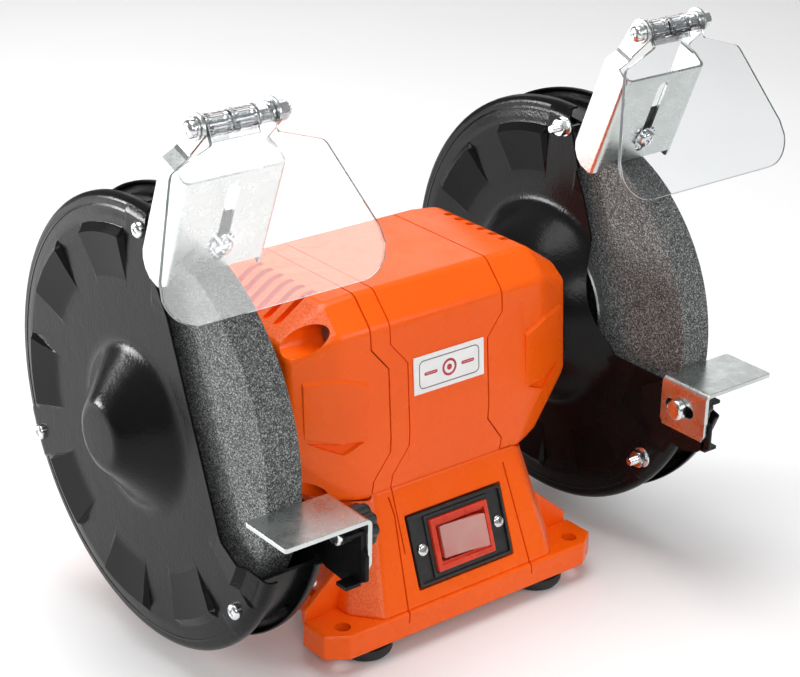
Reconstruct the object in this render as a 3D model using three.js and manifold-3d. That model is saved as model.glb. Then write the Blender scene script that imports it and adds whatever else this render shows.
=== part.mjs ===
// A twin-wheel bench grinder, in millimetres. +X runs along the motor shaft, +Y to the back, +Z up.
// The machine is built about the plane x = 0 with the shaft over y = 0 and the floor at z = 0.
import * as THREE from "three";
import { ConvexGeometry } from "three/addons/geometries/ConvexGeometry.js";
import { mergeVertices } from "three/addons/utils/BufferGeometryUtils.js";
import Module from "manifold-3d";

const wasm = await Module();
wasm.setup();

// ---------------------------------------------------------------- driving dimensions
const GAP = 0.3;
const SHAFT_Z = 128.9;

const WHEEL_RADIUS = 100;
const WHEEL_WIDTH = 20;
const WHEEL_X = 132.4;
const WHEEL_BORE = 8.4;
const FLANGE_RADIUS = 42;

const GUARD_RIM_RADIUS = 115.2;
const GUARD_INNER_X = 114.7;
const GUARD_OUTER_X = 150;
const SHEET = 1.2;
const BAND_INNER_RADIUS = 107.8;
const BAND_THICKNESS = 1.6;
const BAND_TOP_ANGLE = 24.4;
const BAND_BOTTOM_ANGLE = 111;

const BELT_HALF = 36;
const BELT_WAIST = 25.8;
const LEFT_JOINT_EXTRA = 11.5;
const JOINT_GAP = 0.9;
const BELL_SHOULDER_X = 66;
const BELL_END_X = 90;
const CAVITY_RADIUS = 46.5;

const BASE_BOTTOM = 9;
const BASE_TOP = 23;
const BASE_HALF_X = 90;
const BASE_HALF_Y = 79.6;
const EAR_INNER_Y = 54;
const BENCH_HOLE_X = 76.7;
const BENCH_HOLE_Y = 70;
const BENCH_HOLE_RADIUS = 4.2;
const FOOT_X = 58;
const FOOT_Y = 64;
const FOOT_RADIUS = 14.5;

const PANEL_TILT = Math.atan2(0.34, 0.94);
const PANEL_POINT = new THREE.Vector3(0, -66.7, 48.5);
const BEZEL = { halfWidth: 31, halfHeight: 19, depth: 3.2 };
const SWITCH = { halfWidth: 19, halfHeight: 14, proud: 5, depth: 24 };

const BRACKET = { topY: -64.5, topZ: 272, lean: 20.8, halfWidth: 27.5, length: 54, depth: 18, sheet: 1.5 };
const BRACKET_SLOT = { top: 5, bottom: 49, halfWidth: 3.2 };
const CLAMP_W = 39.5;
const EAR_HALF = 20.5;
const HINGE = { y: -64, z: 297 };
const SHIELD = {
  lean: 24.2, proud: 3, sheet: 2.2, neckHalf: 17.5, shoulderHalf: 41, lowerHalf: 58.6, length: 82,
};

const REST = {
  innerX: 107.5, outerX: 155.6, frontY: -132.8, backY: -101.3, topZ: 123, sheet: 2.4, flangeZ: 96,
};
const REST_BOLT = { y: -114.5, z: 109, radius: 2.9 };
const KNOB = { radius: 10.6, thickness: 11, lobes: 8 };

// The rest plates reach further forward than the guards reach back.
const FRONT_Y = REST.frontY;
const ORIGIN_Y = -(FRONT_Y + GUARD_RIM_RADIUS) / 2;

// ---------------------------------------------------------------- materials
function material(color, roughness, metalness, opacity = 1) {
  const transparent = opacity < 1;
  return new THREE.MeshStandardMaterial({ color, roughness, metalness, opacity, transparent });
}

const MATERIALS = {
  orange: () => material(0xff640a, 0.35, 0),
  blackSheet: () => material(0x151517, 0.35, 0.2),
  blackPlastic: () => material(0x121212, 0.5, 0),
  rubber: () => material(0x101010, 0.8, 0),
  stone: () => material(0x7c7d7a, 0.95, 0),
  zinc: () => material(0xc4c8c8, 0.3, 1),
  steel: () => material(0x9a9c9e, 0.35, 1),
  iron: () => material(0x5c5d60, 0.6, 0.8),
  copper: () => material(0xb4632f, 0.4, 0.9),
  red: () => material(0xd8301c, 0.4, 0),
  clear: () => material(0xe8eef0, 0.08, 0, 0.3),
  label: () => material(0xf2f2f0, 0.4, 0),
  alloy: () => material(0xa8abb0, 0.45, 0.9),
};

const grinder = new THREE.Group();
grinder.position.set(0, ORIGIN_Y, 0);

function add(name, geometry, look, x = 0) {
  const mesh = new THREE.Mesh(geometry, MATERIALS[look]());
  mesh.name = name;
  mesh.position.x = x;
  grinder.add(mesh);
}

// ---------------------------------------------------------------- solids
function solid(geometry) {
  const bare = geometry.clone();
  bare.deleteAttribute("normal");
  bare.deleteAttribute("uv");
  const merged = mergeVertices(bare, 1e-4);
  return new wasm.Manifold(new wasm.Mesh({
    numProp: 3,
    vertProperties: new Float32Array(merged.attributes.position.array),
    triVerts: new Uint32Array(merged.index.array),
  }));
}

function toGeometry(shape) {
  const mesh = shape.getMesh();
  const geometry = new THREE.BufferGeometry();
  geometry.setAttribute("position", new THREE.BufferAttribute(new Float32Array(mesh.vertProperties), 3));
  geometry.setIndex(new THREE.BufferAttribute(new Uint32Array(mesh.triVerts), 1));
  geometry.computeVertexNormals();
  return geometry;
}

function join(first, ...rest) {
  return rest.reduce((sum, piece) => sum.add(piece), first);
}

function cut(first, ...rest) {
  return rest.reduce((left, piece) => left.subtract(piece), first);
}

function box(x0, x1, y0, y1, z0, z1) {
  const geometry = new THREE.BoxGeometry(x1 - x0, y1 - y0, z1 - z0);
  geometry.translate((x0 + x1) / 2, (y0 + y1) / 2, (z0 + z1) / 2);
  return solid(geometry);
}

// A cylinder along X, Y or Z from a0 to a1 on that axis, centred at (p, q) on the other two in order.
function cylinder(axis, radius, a0, a1, p, q, segments = 32) {
  const geometry = new THREE.CylinderGeometry(radius, radius, a1 - a0, segments);
  const middle = (a0 + a1) / 2;
  if (axis === "x") {
    geometry.rotateZ(-Math.PI / 2);
    geometry.translate(middle, p, q);
  } else if (axis === "y") {
    geometry.translate(p, middle, q);
  } else {
    geometry.rotateX(Math.PI / 2);
    geometry.translate(p, q, middle);
  }
  return solid(geometry);
}

// A flat outline of [a, b] pairs, extruded along the axis that is left: (y, z) along X, (x, z) along Y
// and (x, y) along Z.
function prism(axis, points, from, to) {
  const shape = new THREE.Shape(points.map(([a, b]) => new THREE.Vector2(a, b)));
  return prismOf(axis, shape, from, to);
}

function prismOf(axis, shape, from, to, curveSegments = 8) {
  const geometry = new THREE.ExtrudeGeometry(shape, { depth: to - from, bevelEnabled: false, curveSegments });
  if (axis === "x") {
    geometry.applyMatrix4(new THREE.Matrix4().set(0, 0, 1, from, 1, 0, 0, 0, 0, 1, 0, 0, 0, 0, 0, 1));
  } else if (axis === "y") {
    geometry.applyMatrix4(new THREE.Matrix4().set(1, 0, 0, 0, 0, 0, -1, to, 0, 1, 0, 0, 0, 0, 0, 1));
  } else {
    geometry.translate(0, 0, from);
  }
  return solid(geometry);
}

function hull(points) {
  return solid(new ConvexGeometry(points.map(([x, y, z]) => new THREE.Vector3(x, y, z))));
}

// A body of revolution about the shaft from [x, radius] pairs that close on the axis or on themselves.
function turned(profile, segments = 36) {
  const points = profile.map(([x, radius]) => new THREE.Vector2(radius, x));
  if (THREE.ShapeUtils.area(points) < 0) {
    points.reverse();
  }
  const geometry = new THREE.LatheGeometry(points, segments);
  geometry.rotateZ(-Math.PI / 2);
  geometry.translate(0, 0, SHAFT_Z);
  return solid(geometry);
}

// The same body about the X axis through any other point.
function turnedAt(profile, y, z, segments = 16) {
  const shape = turned(profile, segments);
  return shape.translate([0, y, z - SHAFT_Z]);
}

function ring(x0, x1, inner, outer, segments = 24) {
  return turned([[x0, inner], [x1, inner], [x1, outer], [x0, outer], [x0, inner]], segments);
}

// ---------------------------------------------------------------- motor housing
const SHELL_PROFILE = [
  [38.6, 186], [52.5, 171.8], [54.5, 151], [57.3, 112], [56.5, 88], [54.9, 80.2], [40, 74],
];

function bothSides(profile) {
  const front = profile.map(([y, z]) => [-y, z]);
  return [...profile].reverse().concat(front);
}

// The hull of the shell and both bells; grow spreads it about the shaft.
function housingHull(grow = 0) {
  const shoulder = bothSides([
    [37.5, 184.5], [51, 171], [53, 151], [55.5, 112], [53, 92], [49, 83], [38, 77],
  ]);
  const end = bothSides([[32, 168.4], [42, 161.4], [45.4, 113], [38, 97], [26, 90]]);
  const points = [];
  for (const side of [-1, 1]) {
    bothSides(SHELL_PROFILE).forEach(([y, z]) => points.push([side * 50, y, z]));
    shoulder.forEach(([y, z]) => points.push([side * BELL_SHOULDER_X, y, z]));
    end.forEach(([y, z]) => points.push([side * BELL_END_X, y, z]));
  }
  const spread = 1 + grow / 55;
  return hull(points.map(([x, y, z]) => [x * spread, y * spread, SHAFT_Z + (z - SHAFT_Z) * spread]));
}

// The joint line steps in at the waist of the casting, as seen from the front.
function jointOutline(extra, shift) {
  const wide = BELT_HALF + extra + shift;
  const narrow = BELT_WAIST + extra + shift;
  return [[wide, 60], [wide, 90], [narrow, 104], [narrow, 149], [wide, 161], [wide, 200]];
}

function centreZone() {
  const right = jointOutline(0, 0);
  const left = jointOutline(LEFT_JOINT_EXTRA, 0).map(([x, z]) => [-x, z]).reverse();
  return prism("y", right.concat(left), -90, 90);
}

function bellZone(side, gap = JOINT_GAP) {
  const extra = side < 0 ? LEFT_JOINT_EXTRA : 0;
  const line = jointOutline(extra, gap).map(([x, z]) => [side * x, z]);
  const outer = [[side * 120, 200], [side * 120, 60]];
  const outline = line.concat(outer);
  return prism("y", side < 0 ? outline.reverse() : outline, -90, 90);
}

function pedestalBody() {
  const top = [[47, -55.6], [54.5, -48], [54.5, 48], [47, 55.6]];
  const foot = [[56, -78.6], [69, -63], [69, 63], [56, 78.6]];
  const points = [];
  for (const side of [-1, 1]) {
    top.forEach(([x, y]) => points.push([side * x, y, 84]));
    foot.forEach(([x, y]) => points.push([side * x, y, BASE_TOP - 1]));
  }
  return hull(points);
}

function pedestalHollow() {
  const top = [[43, 50.5], [49.5, 45]];
  const foot = [[52.5, 73.5], [63.5, 60]];
  const points = [];
  for (const sx of [-1, 1]) {
    for (const sy of [-1, 1]) {
      top.forEach(([x, y]) => points.push([sx * x, sy * y, 78]));
      foot.forEach(([x, y]) => points.push([sx * x, sy * y, 5]));
    }
  }
  return hull(points);
}

// Each ear is cored from below, round a boss for its bench bolt.
function earPockets() {
  const pockets = [];
  for (const sx of [-1, 1]) {
    for (const sy of [-1, 1]) {
      const xs = [sx * 70, sx * 86].sort((a, b) => a - b);
      const ys = [sy * 58, sy * 74].sort((a, b) => a - b);
      const boss = cylinder("z", 8, 0, 30, sx * BENCH_HOLE_X, sy * BENCH_HOLE_Y, 20);
      pockets.push(cut(box(xs[0], xs[1], ys[0], ys[1], 5, 18), boss));
    }
  }
  return pockets;
}

function basePlan() {
  const corner = 11;
  const edge = BASE_HALF_X;
  const depth = BASE_HALF_Y;
  const quarter = [[72, 0], [72, EAR_INNER_Y - 4], [76, EAR_INNER_Y], [edge, EAR_INNER_Y]];
  quarter.push([edge, depth - 7.5], [edge - corner, depth]);
  const right = quarter.map(([x, y]) => [x, -y]).reverse().concat(quarter.slice(1));
  const left = right.map(([x, y]) => [-x, y]).reverse();
  return right.concat(left);
}

function benchHoles(z0, z1, radius) {
  const holes = [];
  for (const x of [-BENCH_HOLE_X, BENCH_HOLE_X]) {
    for (const y of [-BENCH_HOLE_Y, BENCH_HOLE_Y]) {
      holes.push(cylinder("z", radius, z0, z1, x, y, 16));
    }
  }
  return holes;
}

function earRibs() {
  const ribs = [];
  for (const sx of [-1, 1]) {
    for (const sy of [-1, 1]) {
      const rib = hull([
        [sx * 60, sy * 50, 20], [sx * 88, sy * 50, 20], [sx * 60, sy * 54, 20], [sx * 88, sy * 54, 20],
        [sx * 60, sy * 50, 52], [sx * 60, sy * 54, 52], [sx * 88, sy * 50, 28], [sx * 88, sy * 54, 28],
      ]);
      ribs.push(rib);
    }
  }
  return ribs;
}

// Panel coordinates: u to the right, v up the panel, n straight out of it.
function onPanel(shape) {
  return shape.rotate([90 - THREE.MathUtils.radToDeg(PANEL_TILT), 0, 0])
    .translate([PANEL_POINT.x, PANEL_POINT.y, PANEL_POINT.z]);
}

function panelBox(u0, u1, v0, v1, n0, n1) {
  return onPanel(box(u0, u1, v0, v1, n0, n1));
}

function centreHousing() {
  const cavity = cylinder("x", CAVITY_RADIUS, -60, 60, 0, SHAFT_Z);
  const shell = housingHull().intersect(centreZone());
  const base = prism("z", basePlan(), BASE_BOTTOM, BASE_TOP);
  const hollow = pedestalHollow();
  const neckTop = box(-37, 37, -30, 30, 70, 95);
  const windows = [panelBox(-SWITCH.halfWidth - 1, SWITCH.halfWidth + 1, -15, 15, -30, 10)];
  for (const u of [-25.3, 25.3]) {
    windows.push(onPanel(cylinder("z", 1.8, -20, 10, u, 0, 12)));
  }
  const seatU = BEZEL.halfWidth + 1;
  const seatV = BEZEL.halfHeight + 1;
  const recess = panelBox(-seatU, seatU, -seatV, seatV, -1.5, 20);
  const gland = cylinder("y", 8.4, 40, 100, 0, 50, 16);
  const plateSeat = prism("z", [[-66, -70], [66, -70], [66, 70], [-66, 70]], 5, BASE_BOTTOM + 3);
  const bells = [-1, 1].map((side) => housingHull(0.5).intersect(bellZone(side, JOINT_GAP / 2)));
  const pedestal = cut(pedestalBody(), ...bells);
  const body = join(shell, pedestal, base, ...earRibs());
  const drilled = cut(body, cavity, hollow, neckTop, recess, ...windows, gland, plateSeat);
  return cut(drilled, ...benchHoles(0, 40, BENCH_HOLE_RADIUS), ...earPockets(), ...throughBoltHoles(-60, 60));
}

// ---------------------------------------------------------------- end bells
const BOLT_CIRCLE = 57.8;
const BOLT_SEAT_X = 60;
const BOLT_END_X = 60;

function boltCentres() {
  return [45, 135, 225, 315].map((degrees) => {
    const angle = THREE.MathUtils.degToRad(degrees);
    return [BOLT_CIRCLE * Math.cos(angle), SHAFT_Z + BOLT_CIRCLE * Math.sin(angle)];
  });
}

function throughBoltHoles(x0, x1) {
  return boltCentres().map(([y, z]) => cylinder("x", 2.9, x0, x1, y, z, 8));
}

// The bolts go in from the left: their heads sit in pockets there, their ends in blind holes on the right.
function headPockets() {
  return boltCentres().map(([y, z]) => cylinder("x", 8, -95, -BOLT_SEAT_X, y, z, 20));
}

function bellVents(side) {
  const slots = [];
  const xs = [side * 69, side * 83.5].sort((a, b) => a - b);
  for (let i = 0; i < 6; i += 1) {
    const y = -22.5 + i * 9;
    slots.push(box(xs[0], xs[1], y - 2, y + 2, 150, 200));
  }
  return slots;
}

function endBell(side) {
  const reach = side * 83;
  const body = housingHull().intersect(bellZone(side));
  const cavity = cylinder("x", CAVITY_RADIUS, Math.min(0, reach), Math.max(0, reach), 0, SHAFT_Z);
  const hubOuter = cylinder("x", 21, side < 0 ? -84 : 68, side < 0 ? -68 : 84, 0, SHAFT_Z, 24);
  const seat = cylinder("x", 16.5, side < 0 ? -82 : 60, side < 0 ? -60 : 82, 0, SHAFT_Z, 24);
  const eye = cylinder("x", 11.5, side < 0 ? -95 : 60, side < 0 ? -60 : 95, 0, SHAFT_Z, 24);
  const bored = cut(body, cavity, ...bellVents(side)).add(hubOuter);
  const blind = throughBoltHoles(0, BOLT_END_X + GAP);
  const bolts = side < 0 ? [...headPockets(), ...throughBoltHoles(-100, 0)] : blind;
  return cut(bored, seat, eye, ...bolts);
}

// ---------------------------------------------------------------- motor internals
function bearing(side) {
  const x = side * 76.5;
  return ring(x - 5.2, x + 5.2, 10.3, 16);
}

function winding(side) {
  const inner = side * 22.5;
  const outer = side * 42;
  return ring(Math.min(inner, outer), Math.max(inner, outer), 32, 43);
}

function shaft() {
  return turned([
    [-162, 0], [-162, 7], [-160.5, 8], [-114, 8], [-114, 13], [-110, 13], [-110, 10], [-46, 10], [-46, 12],
    [46, 12], [46, 10], [110, 10], [110, 13], [114, 13], [114, 8], [160.5, 8], [162, 7], [162, 0],
  ], 16);
}

function spindleNut(side) {
  const x0 = side < 0 ? -158 : 149.5;
  const points = [];
  for (let i = 0; i < 6; i += 1) {
    const angle = (i * Math.PI) / 3;
    points.push([13.8 * Math.cos(angle), SHAFT_Z + 13.8 * Math.sin(angle)]);
  }
  return cut(prism("x", points, x0, x0 + 8.5), cylinder("x", 8 + GAP, x0 - 1, x0 + 10, 0, SHAFT_Z, 16));
}

function wheelFlange(side, inner) {
  const near = inner ? 117 : 142.8;
  const far = inner ? 122.1 : 149;
  const shape = ring(near, far, 8 + GAP, FLANGE_RADIUS);
  return side < 0 ? shape.mirror([1, 0, 0]) : shape;
}

function wheel() {
  const half = WHEEL_WIDTH / 2;
  const bevel = 0.8;
  return turned([
    [-half, WHEEL_BORE], [half, WHEEL_BORE], [half, WHEEL_RADIUS - bevel], [half - bevel, WHEEL_RADIUS],
    [-half + bevel, WHEEL_RADIUS], [-half, WHEEL_RADIUS - bevel], [-half, WHEEL_BORE],
  ], 44);
}

// ---------------------------------------------------------------- wheel guards
// Heights in the guard outlines are measured from the shaft.
function lifted(points) {
  return points.map(([y, height]) => [y, SHAFT_Z + height]);
}

function guardOuterPlate(side) {
  const x = GUARD_OUTER_X;
  const dished = turned([
    [171, 0], [171, 15.5], [168.6, 19], [152.6, 39.5], [x, 44.5], [x, 111], [x - 4.5, GUARD_RIM_RADIUS],
    [x - 5, 114.1], [x - SHEET, 110.2], [x - SHEET, 44.9], [151.6, 38.8], [167.7, 18.3], [169.8, 15],
    [169.8, 0],
  ]);
  const mouth = prism("x", lifted([
    [-11, 118], [-29.8, 71], [-70.5, -28], [-74, -31], [-104, -38], [-130, -40], [-130, 118],
  ]), 100, 180);
  const plate = cut(dished, mouth);
  return side < 0 ? plate.mirror([1, 0, 0]) : plate;
}

function guardInnerPlate(side) {
  const x = GUARD_INNER_X;
  const dished = turned([
    [90.5, 14], [90.5, 39], [110, 55], [x, 59.5], [x, 111], [x + 4.5, GUARD_RIM_RADIUS], [x + 5, 114.1],
    [x + SHEET, 110.2], [x + SHEET, 59], [110.9, 54], [91.7, 38.4], [91.7, 14], [90.5, 14],
  ]);
  const mouth = prism("x", lifted([
    [-10, 118], [-24.6, 74], [-58.2, -12.6], [-97, -12.6], [-97, -34], [-130, -40], [-130, 118],
  ]), 80, 130);
  const plate = cut(dished, mouth);
  return side < 0 ? plate.mirror([1, 0, 0]) : plate;
}

// The bracket frame leans forward at the top. w runs down the bracket plate and d runs back through it.
const LEAN = THREE.MathUtils.degToRad(BRACKET.lean);
const BRACKET_FRAME = new THREE.Matrix4().set(
  1, 0, 0, 0,
  0, Math.sin(LEAN), Math.cos(LEAN), BRACKET.topY,
  0, -Math.cos(LEAN), Math.sin(LEAN), BRACKET.topZ,
  0, 0, 0, 1,
);

function inBracket(x, w, d) {
  const point = new THREE.Vector3(x, w, d).applyMatrix4(BRACKET_FRAME);
  return [point.x, point.y, point.z];
}

function bracketBox(x0, x1, w0, w1, d0, d1) {
  const points = [];
  for (const x of [x0, x1]) {
    for (const w of [w0, w1]) {
      for (const d of [d0, d1]) {
        points.push(inBracket(x, w, d));
      }
    }
  }
  return hull(points);
}

// A cylinder through the bracket plate, from depth d0 to d1, at height w.
function bracketPin(radius, w, d0, d1, segments = 16) {
  const points = [];
  for (let i = 0; i < segments; i += 1) {
    const angle = (2 * Math.PI * i) / segments;
    for (const d of [d0, d1]) {
      points.push(inBracket(radius * Math.cos(angle), w + radius * Math.sin(angle), d));
    }
  }
  return hull(points);
}

// Angles round the guard run from straight up, over the back, down to the front.
function arcPoints(radius, fromDegrees, toDegrees, steps) {
  const points = [];
  for (let i = 0; i <= steps; i += 1) {
    const angle = THREE.MathUtils.degToRad(fromDegrees + ((toDegrees - fromDegrees) * i) / steps);
    points.push([radius * Math.sin(angle), SHAFT_Z + radius * Math.cos(angle)]);
  }
  return points;
}

function bandArc(fromDegrees, toDegrees, halfWidth, steps) {
  const inner = arcPoints(BAND_INNER_RADIUS, fromDegrees, toDegrees, steps);
  const outer = arcPoints(BAND_INNER_RADIUS + BAND_THICKNESS, fromDegrees, toDegrees, steps).reverse();
  return prism("x", inner.concat(outer).reverse(), -halfWidth, halfWidth);
}

const TAB = { top: 23, bottom: 48.6, halfWidth: 13, front: 1.8, back: 3.6 };

function guardBand() {
  const half = (GUARD_OUTER_X - GUARD_INNER_X) / 2 - SHEET - GAP;
  const strip = bandArc(-4, 360 - BAND_BOTTOM_ANGLE, half, 30);
  const tongue = bandArc(-BAND_TOP_ANGLE, -3, TAB.halfWidth, 4);
  const tab = bracketBox(-TAB.halfWidth, TAB.halfWidth, TAB.top, TAB.bottom, TAB.front, TAB.back);
  return cut(join(strip, tongue, tab), bracketPin(3, CLAMP_W, 0, 6));
}

// ---------------------------------------------------------------- spark shields
function bracketOutline(points, x0, x1) {
  const shape = new THREE.Shape(points.map(([w, d]) => new THREE.Vector2(w, d)));
  const geometry = new THREE.ExtrudeGeometry(shape, { depth: x1 - x0, bevelEnabled: false });
  geometry.applyMatrix4(new THREE.Matrix4().set(0, 0, 1, x0, 1, 0, 0, 0, 0, 1, 0, 0, 0, 0, 0, 1));
  geometry.applyMatrix4(BRACKET_FRAME);
  return solid(geometry);
}

// The hinge centre in bracket coordinates.
const HINGE_LOCAL = new THREE.Vector3(0, HINGE.y, HINGE.z).applyMatrix4(BRACKET_FRAME.clone().invert());

function bracketEar(side) {
  const s = BRACKET.sheet;
  const out = side * BRACKET.halfWidth;
  const low = Math.min(out, out - side * s);
  const flange = bracketOutline([
    [-2.5, 9], [-2.5, BRACKET.depth + 1], [50, BRACKET.depth + 1], [56, 16], [59.5, 11], [59.5, 1.5],
    [57, 0], [0.5, 0], [-0.5, 5],
  ], low, low + s);
  const inner = side * EAR_HALF;
  const innerLow = Math.min(inner, inner - side * s);
  const joggle = hull([
    [low, -2], [low + s, -2], [innerLow, -8.5], [innerLow + s, -8.5], [low, -3.8], [low + s, -3.8],
    [innerLow, -6.7], [innerLow + s, -6.7],
  ].flatMap(([x, w]) => [inBracket(x, w, 9), inBracket(x, w, BRACKET.depth + 1)]));
  const top = HINGE_LOCAL.y;
  const middle = HINGE_LOCAL.z;
  const crown = [];
  for (let i = 0; i <= 8; i += 1) {
    const angle = (Math.PI * i) / 8;
    crown.push([top - 7 * Math.sin(angle), middle + 7 * Math.cos(angle)]);
  }
  const back = BRACKET.depth + 1;
  const outline = [...crown, [-8, 9], [-6.5, 9], [-6.5, back], [-9, back]];
  const ear = bracketOutline(outline, innerLow, innerLow + s);
  return join(flange, joggle, ear);
}

function shieldBracket() {
  const w = BRACKET.halfWidth;
  const plate = bracketBox(-w, w, 0, BRACKET.length, 0, BRACKET.sheet);
  const slotEnds = [BRACKET_SLOT.top, BRACKET_SLOT.bottom].map((edge, index) => {
    const centre = edge + (index === 0 ? 1 : -1) * BRACKET_SLOT.halfWidth;
    return bracketPin(BRACKET_SLOT.halfWidth, centre, -2, 4, 12);
  });
  const slot = bracketBox(
    -BRACKET_SLOT.halfWidth, BRACKET_SLOT.halfWidth,
    BRACKET_SLOT.top + BRACKET_SLOT.halfWidth, BRACKET_SLOT.bottom - BRACKET_SLOT.halfWidth, -2, 4,
  );
  const hole = cylinder("x", 2.8, -40, 40, HINGE.y, HINGE.z, 12);
  return cut(join(plate, bracketEar(-1), bracketEar(1)), slot, ...slotEnds, hole);
}

function clampScrew() {
  return join(
    bracketPin(4.6, CLAMP_W, -4.2, -1.3), bracketPin(6, CLAMP_W, -1.4, -GAP),
    bracketPin(2.4, CLAMP_W, -1, 6), bracketPin(4.4, CLAMP_W, TAB.back + GAP, 7.4, 6),
  );
}

function hingeBolt() {
  return turnedAt([
    [-26.5, 0], [-26.5, 3.4], [-25.6, 4.6], [-21, 4.6], [-21, 2.4], [29, 2.4], [29, 0],
  ], HINGE.y, HINGE.z);
}

function hingeNut() {
  const points = [];
  for (let i = 0; i < 6; i += 1) {
    const angle = (i * Math.PI) / 3;
    points.push([HINGE.y + 4.8 * Math.cos(angle), HINGE.z + 4.8 * Math.sin(angle)]);
  }
  return cut(prism("x", points, 20.9, 26.4), cylinder("x", 2.4 + GAP, 20, 28, HINGE.y, HINGE.z, 16));
}

function shieldOutline() {
  const { neckHalf, shoulderHalf, lowerHalf, length } = SHIELD;
  const corner = 17;
  const shape = new THREE.Shape();
  shape.moveTo(-neckHalf, 0);
  shape.lineTo(-neckHalf, -9);
  shape.lineTo(-shoulderHalf + 3, -16);
  shape.quadraticCurveTo(-shoulderHalf, -17, -shoulderHalf - 1, -20);
  shape.lineTo(-lowerHalf + 0.8, -length + corner + 6);
  shape.quadraticCurveTo(-lowerHalf - 2.5, -length, -lowerHalf + corner, -length);
  shape.lineTo(lowerHalf - corner, -length);
  shape.quadraticCurveTo(lowerHalf + 2.5, -length, lowerHalf - 0.8, -length + corner + 6);
  shape.lineTo(shoulderHalf + 1, -20);
  shape.quadraticCurveTo(shoulderHalf, -17, shoulderHalf - 3, -16);
  shape.lineTo(neckHalf, -9);
  shape.lineTo(neckHalf, -8);
  shape.lineTo(9, -7);
  shape.lineTo(9, 0);
  return shape;
}

function shield() {
  // Drawn hanging straight down with its front towards -Y, then tilted forward about the hinge.
  const sheet = prismOf("y", shieldOutline(), -SHIELD.proud - SHIELD.sheet, -SHIELD.proud, 6);
  const barrel = cylinder("x", 5.2, -17.8, 9, 0, 0, 16);
  const bore = cylinder("x", 2.8, -30, 30, 0, 0, 16);
  return cut(join(sheet, barrel), bore).rotate([-SHIELD.lean, 0, 0]).translate([0, HINGE.y, HINGE.z]);
}

// ---------------------------------------------------------------- tool rests
function toolRest(side) {
  const { innerX, outerX, frontY, backY, topZ, sheet, flangeZ } = REST;
  const plate = box(innerX, outerX, frontY, backY, topZ - sheet, topZ);
  const flange = prism("x", [
    [frontY + 2, flangeZ], [backY - 2, flangeZ], [backY, flangeZ + 2], [backY, topZ - 1], [frontY, topZ - 1],
    [frontY, flangeZ + 2],
  ], innerX, innerX + sheet);
  const slotHalf = 3.3;
  const { y, z } = REST_BOLT;
  const slot = box(100, 115, y - 6.7, y + 6.7, z - slotHalf, z + slotHalf);
  const ends = [-6.7, 6.7].map((dy) => cylinder("x", slotHalf, 100, 115, y + dy, z, 12));
  const rest = cut(join(plate, flange), slot, ...ends);
  return side < 0 ? rest.mirror([1, 0, 0]) : rest;
}

function restArm(side) {
  const web = prism("x", [
    [-130.5, 116.5], [-131, 92], [-127, 88], [-118, 85], [-104, 86], [-90, 90], [-84, 96], [-84, 110],
    [-96, 116.5],
  ].reverse(), 110.2, 112.2);
  const seat = box(112, GUARD_INNER_X - GAP, -96, -84, 94, 110);
  const topTab = box(112, 120.5, -130.5, -124.5, 114.7, 116.5);
  const lowTab = box(112, 120.5, -130.5, -123, 88.4, 90.2);
  const hole = cylinder("x", REST_BOLT.radius + GAP, 105, 116, REST_BOLT.y, REST_BOLT.z, 16);
  const arm = cut(join(web, seat, topTab, lowTab), hole);
  return side < 0 ? arm.mirror([1, 0, 0]) : arm;
}

// Both bolts have their heads towards -X and their knobs towards +X.
function restBolt(side) {
  const head = side < 0 ? -REST.innerX - 8.8 : REST.innerX - 4.6;
  const seat = side < 0 ? -REST.innerX - 5 : REST.innerX - GAP;
  const tip = side < 0 ? -REST.innerX + 9 : REST.innerX + 14;
  return turnedAt([
    [head, 0], [head, 4.5], [head + 1.2, 5.6], [seat, 5.6], [seat, REST_BOLT.radius], [tip, REST_BOLT.radius],
    [tip, 0],
  ], REST_BOLT.y, REST_BOLT.z);
}

function knob(side) {
  const start = side < 0 ? -REST.innerX + GAP : REST.innerX + 5;
  const points = [];
  const steps = KNOB.lobes * 4;
  for (let i = 0; i < steps; i += 1) {
    const angle = (2 * Math.PI * i) / steps;
    const radius = KNOB.radius - 0.8 + 0.8 * Math.cos(KNOB.lobes * angle);
    points.push([REST_BOLT.y + radius * Math.cos(angle), REST_BOLT.z + radius * Math.sin(angle)]);
  }
  const body = prism("x", points, start, start + KNOB.thickness);
  const bore = cylinder("x", REST_BOLT.radius + GAP, start - 1, start + 10, REST_BOLT.y, REST_BOLT.z, 16);
  return cut(body, bore);
}

// ---------------------------------------------------------------- switch
function switchBezel() {
  const { halfWidth, halfHeight, depth } = BEZEL;
  const plate = panelBox(-halfWidth, halfWidth, -halfHeight, halfHeight, -1.2, depth);
  const window = panelBox(-SWITCH.halfWidth - GAP, SWITCH.halfWidth + GAP, -SWITCH.halfHeight - GAP,
    SWITCH.halfHeight + GAP, -5, 10);
  const holes = [-25.3, 25.3].map((u) => onPanel(cylinder("z", 1.8, -5, 10, u, 0, 12)));
  return cut(plate, window, ...holes);
}

function bezelScrew(u) {
  return onPanel(join(
    cylinder("z", 3.4, BEZEL.depth + GAP, BEZEL.depth + 2, u, 0, 12),
    cylinder("z", 1.4, -8, BEZEL.depth + 1, u, 0, 8),
  ));
}

const ROCKER = { halfWidth: 12.6, halfHeight: 8.6, pivotDepth: -3 };

function switchBody() {
  const { halfWidth, halfHeight, proud, depth } = SWITCH;
  const block = panelBox(-halfWidth, halfWidth, -halfHeight, halfHeight, -depth, proud);
  const well = panelBox(-16.3, 16.3, -9.6, 9.6, -10.3, 10);
  return cut(block, well);
}

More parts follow.
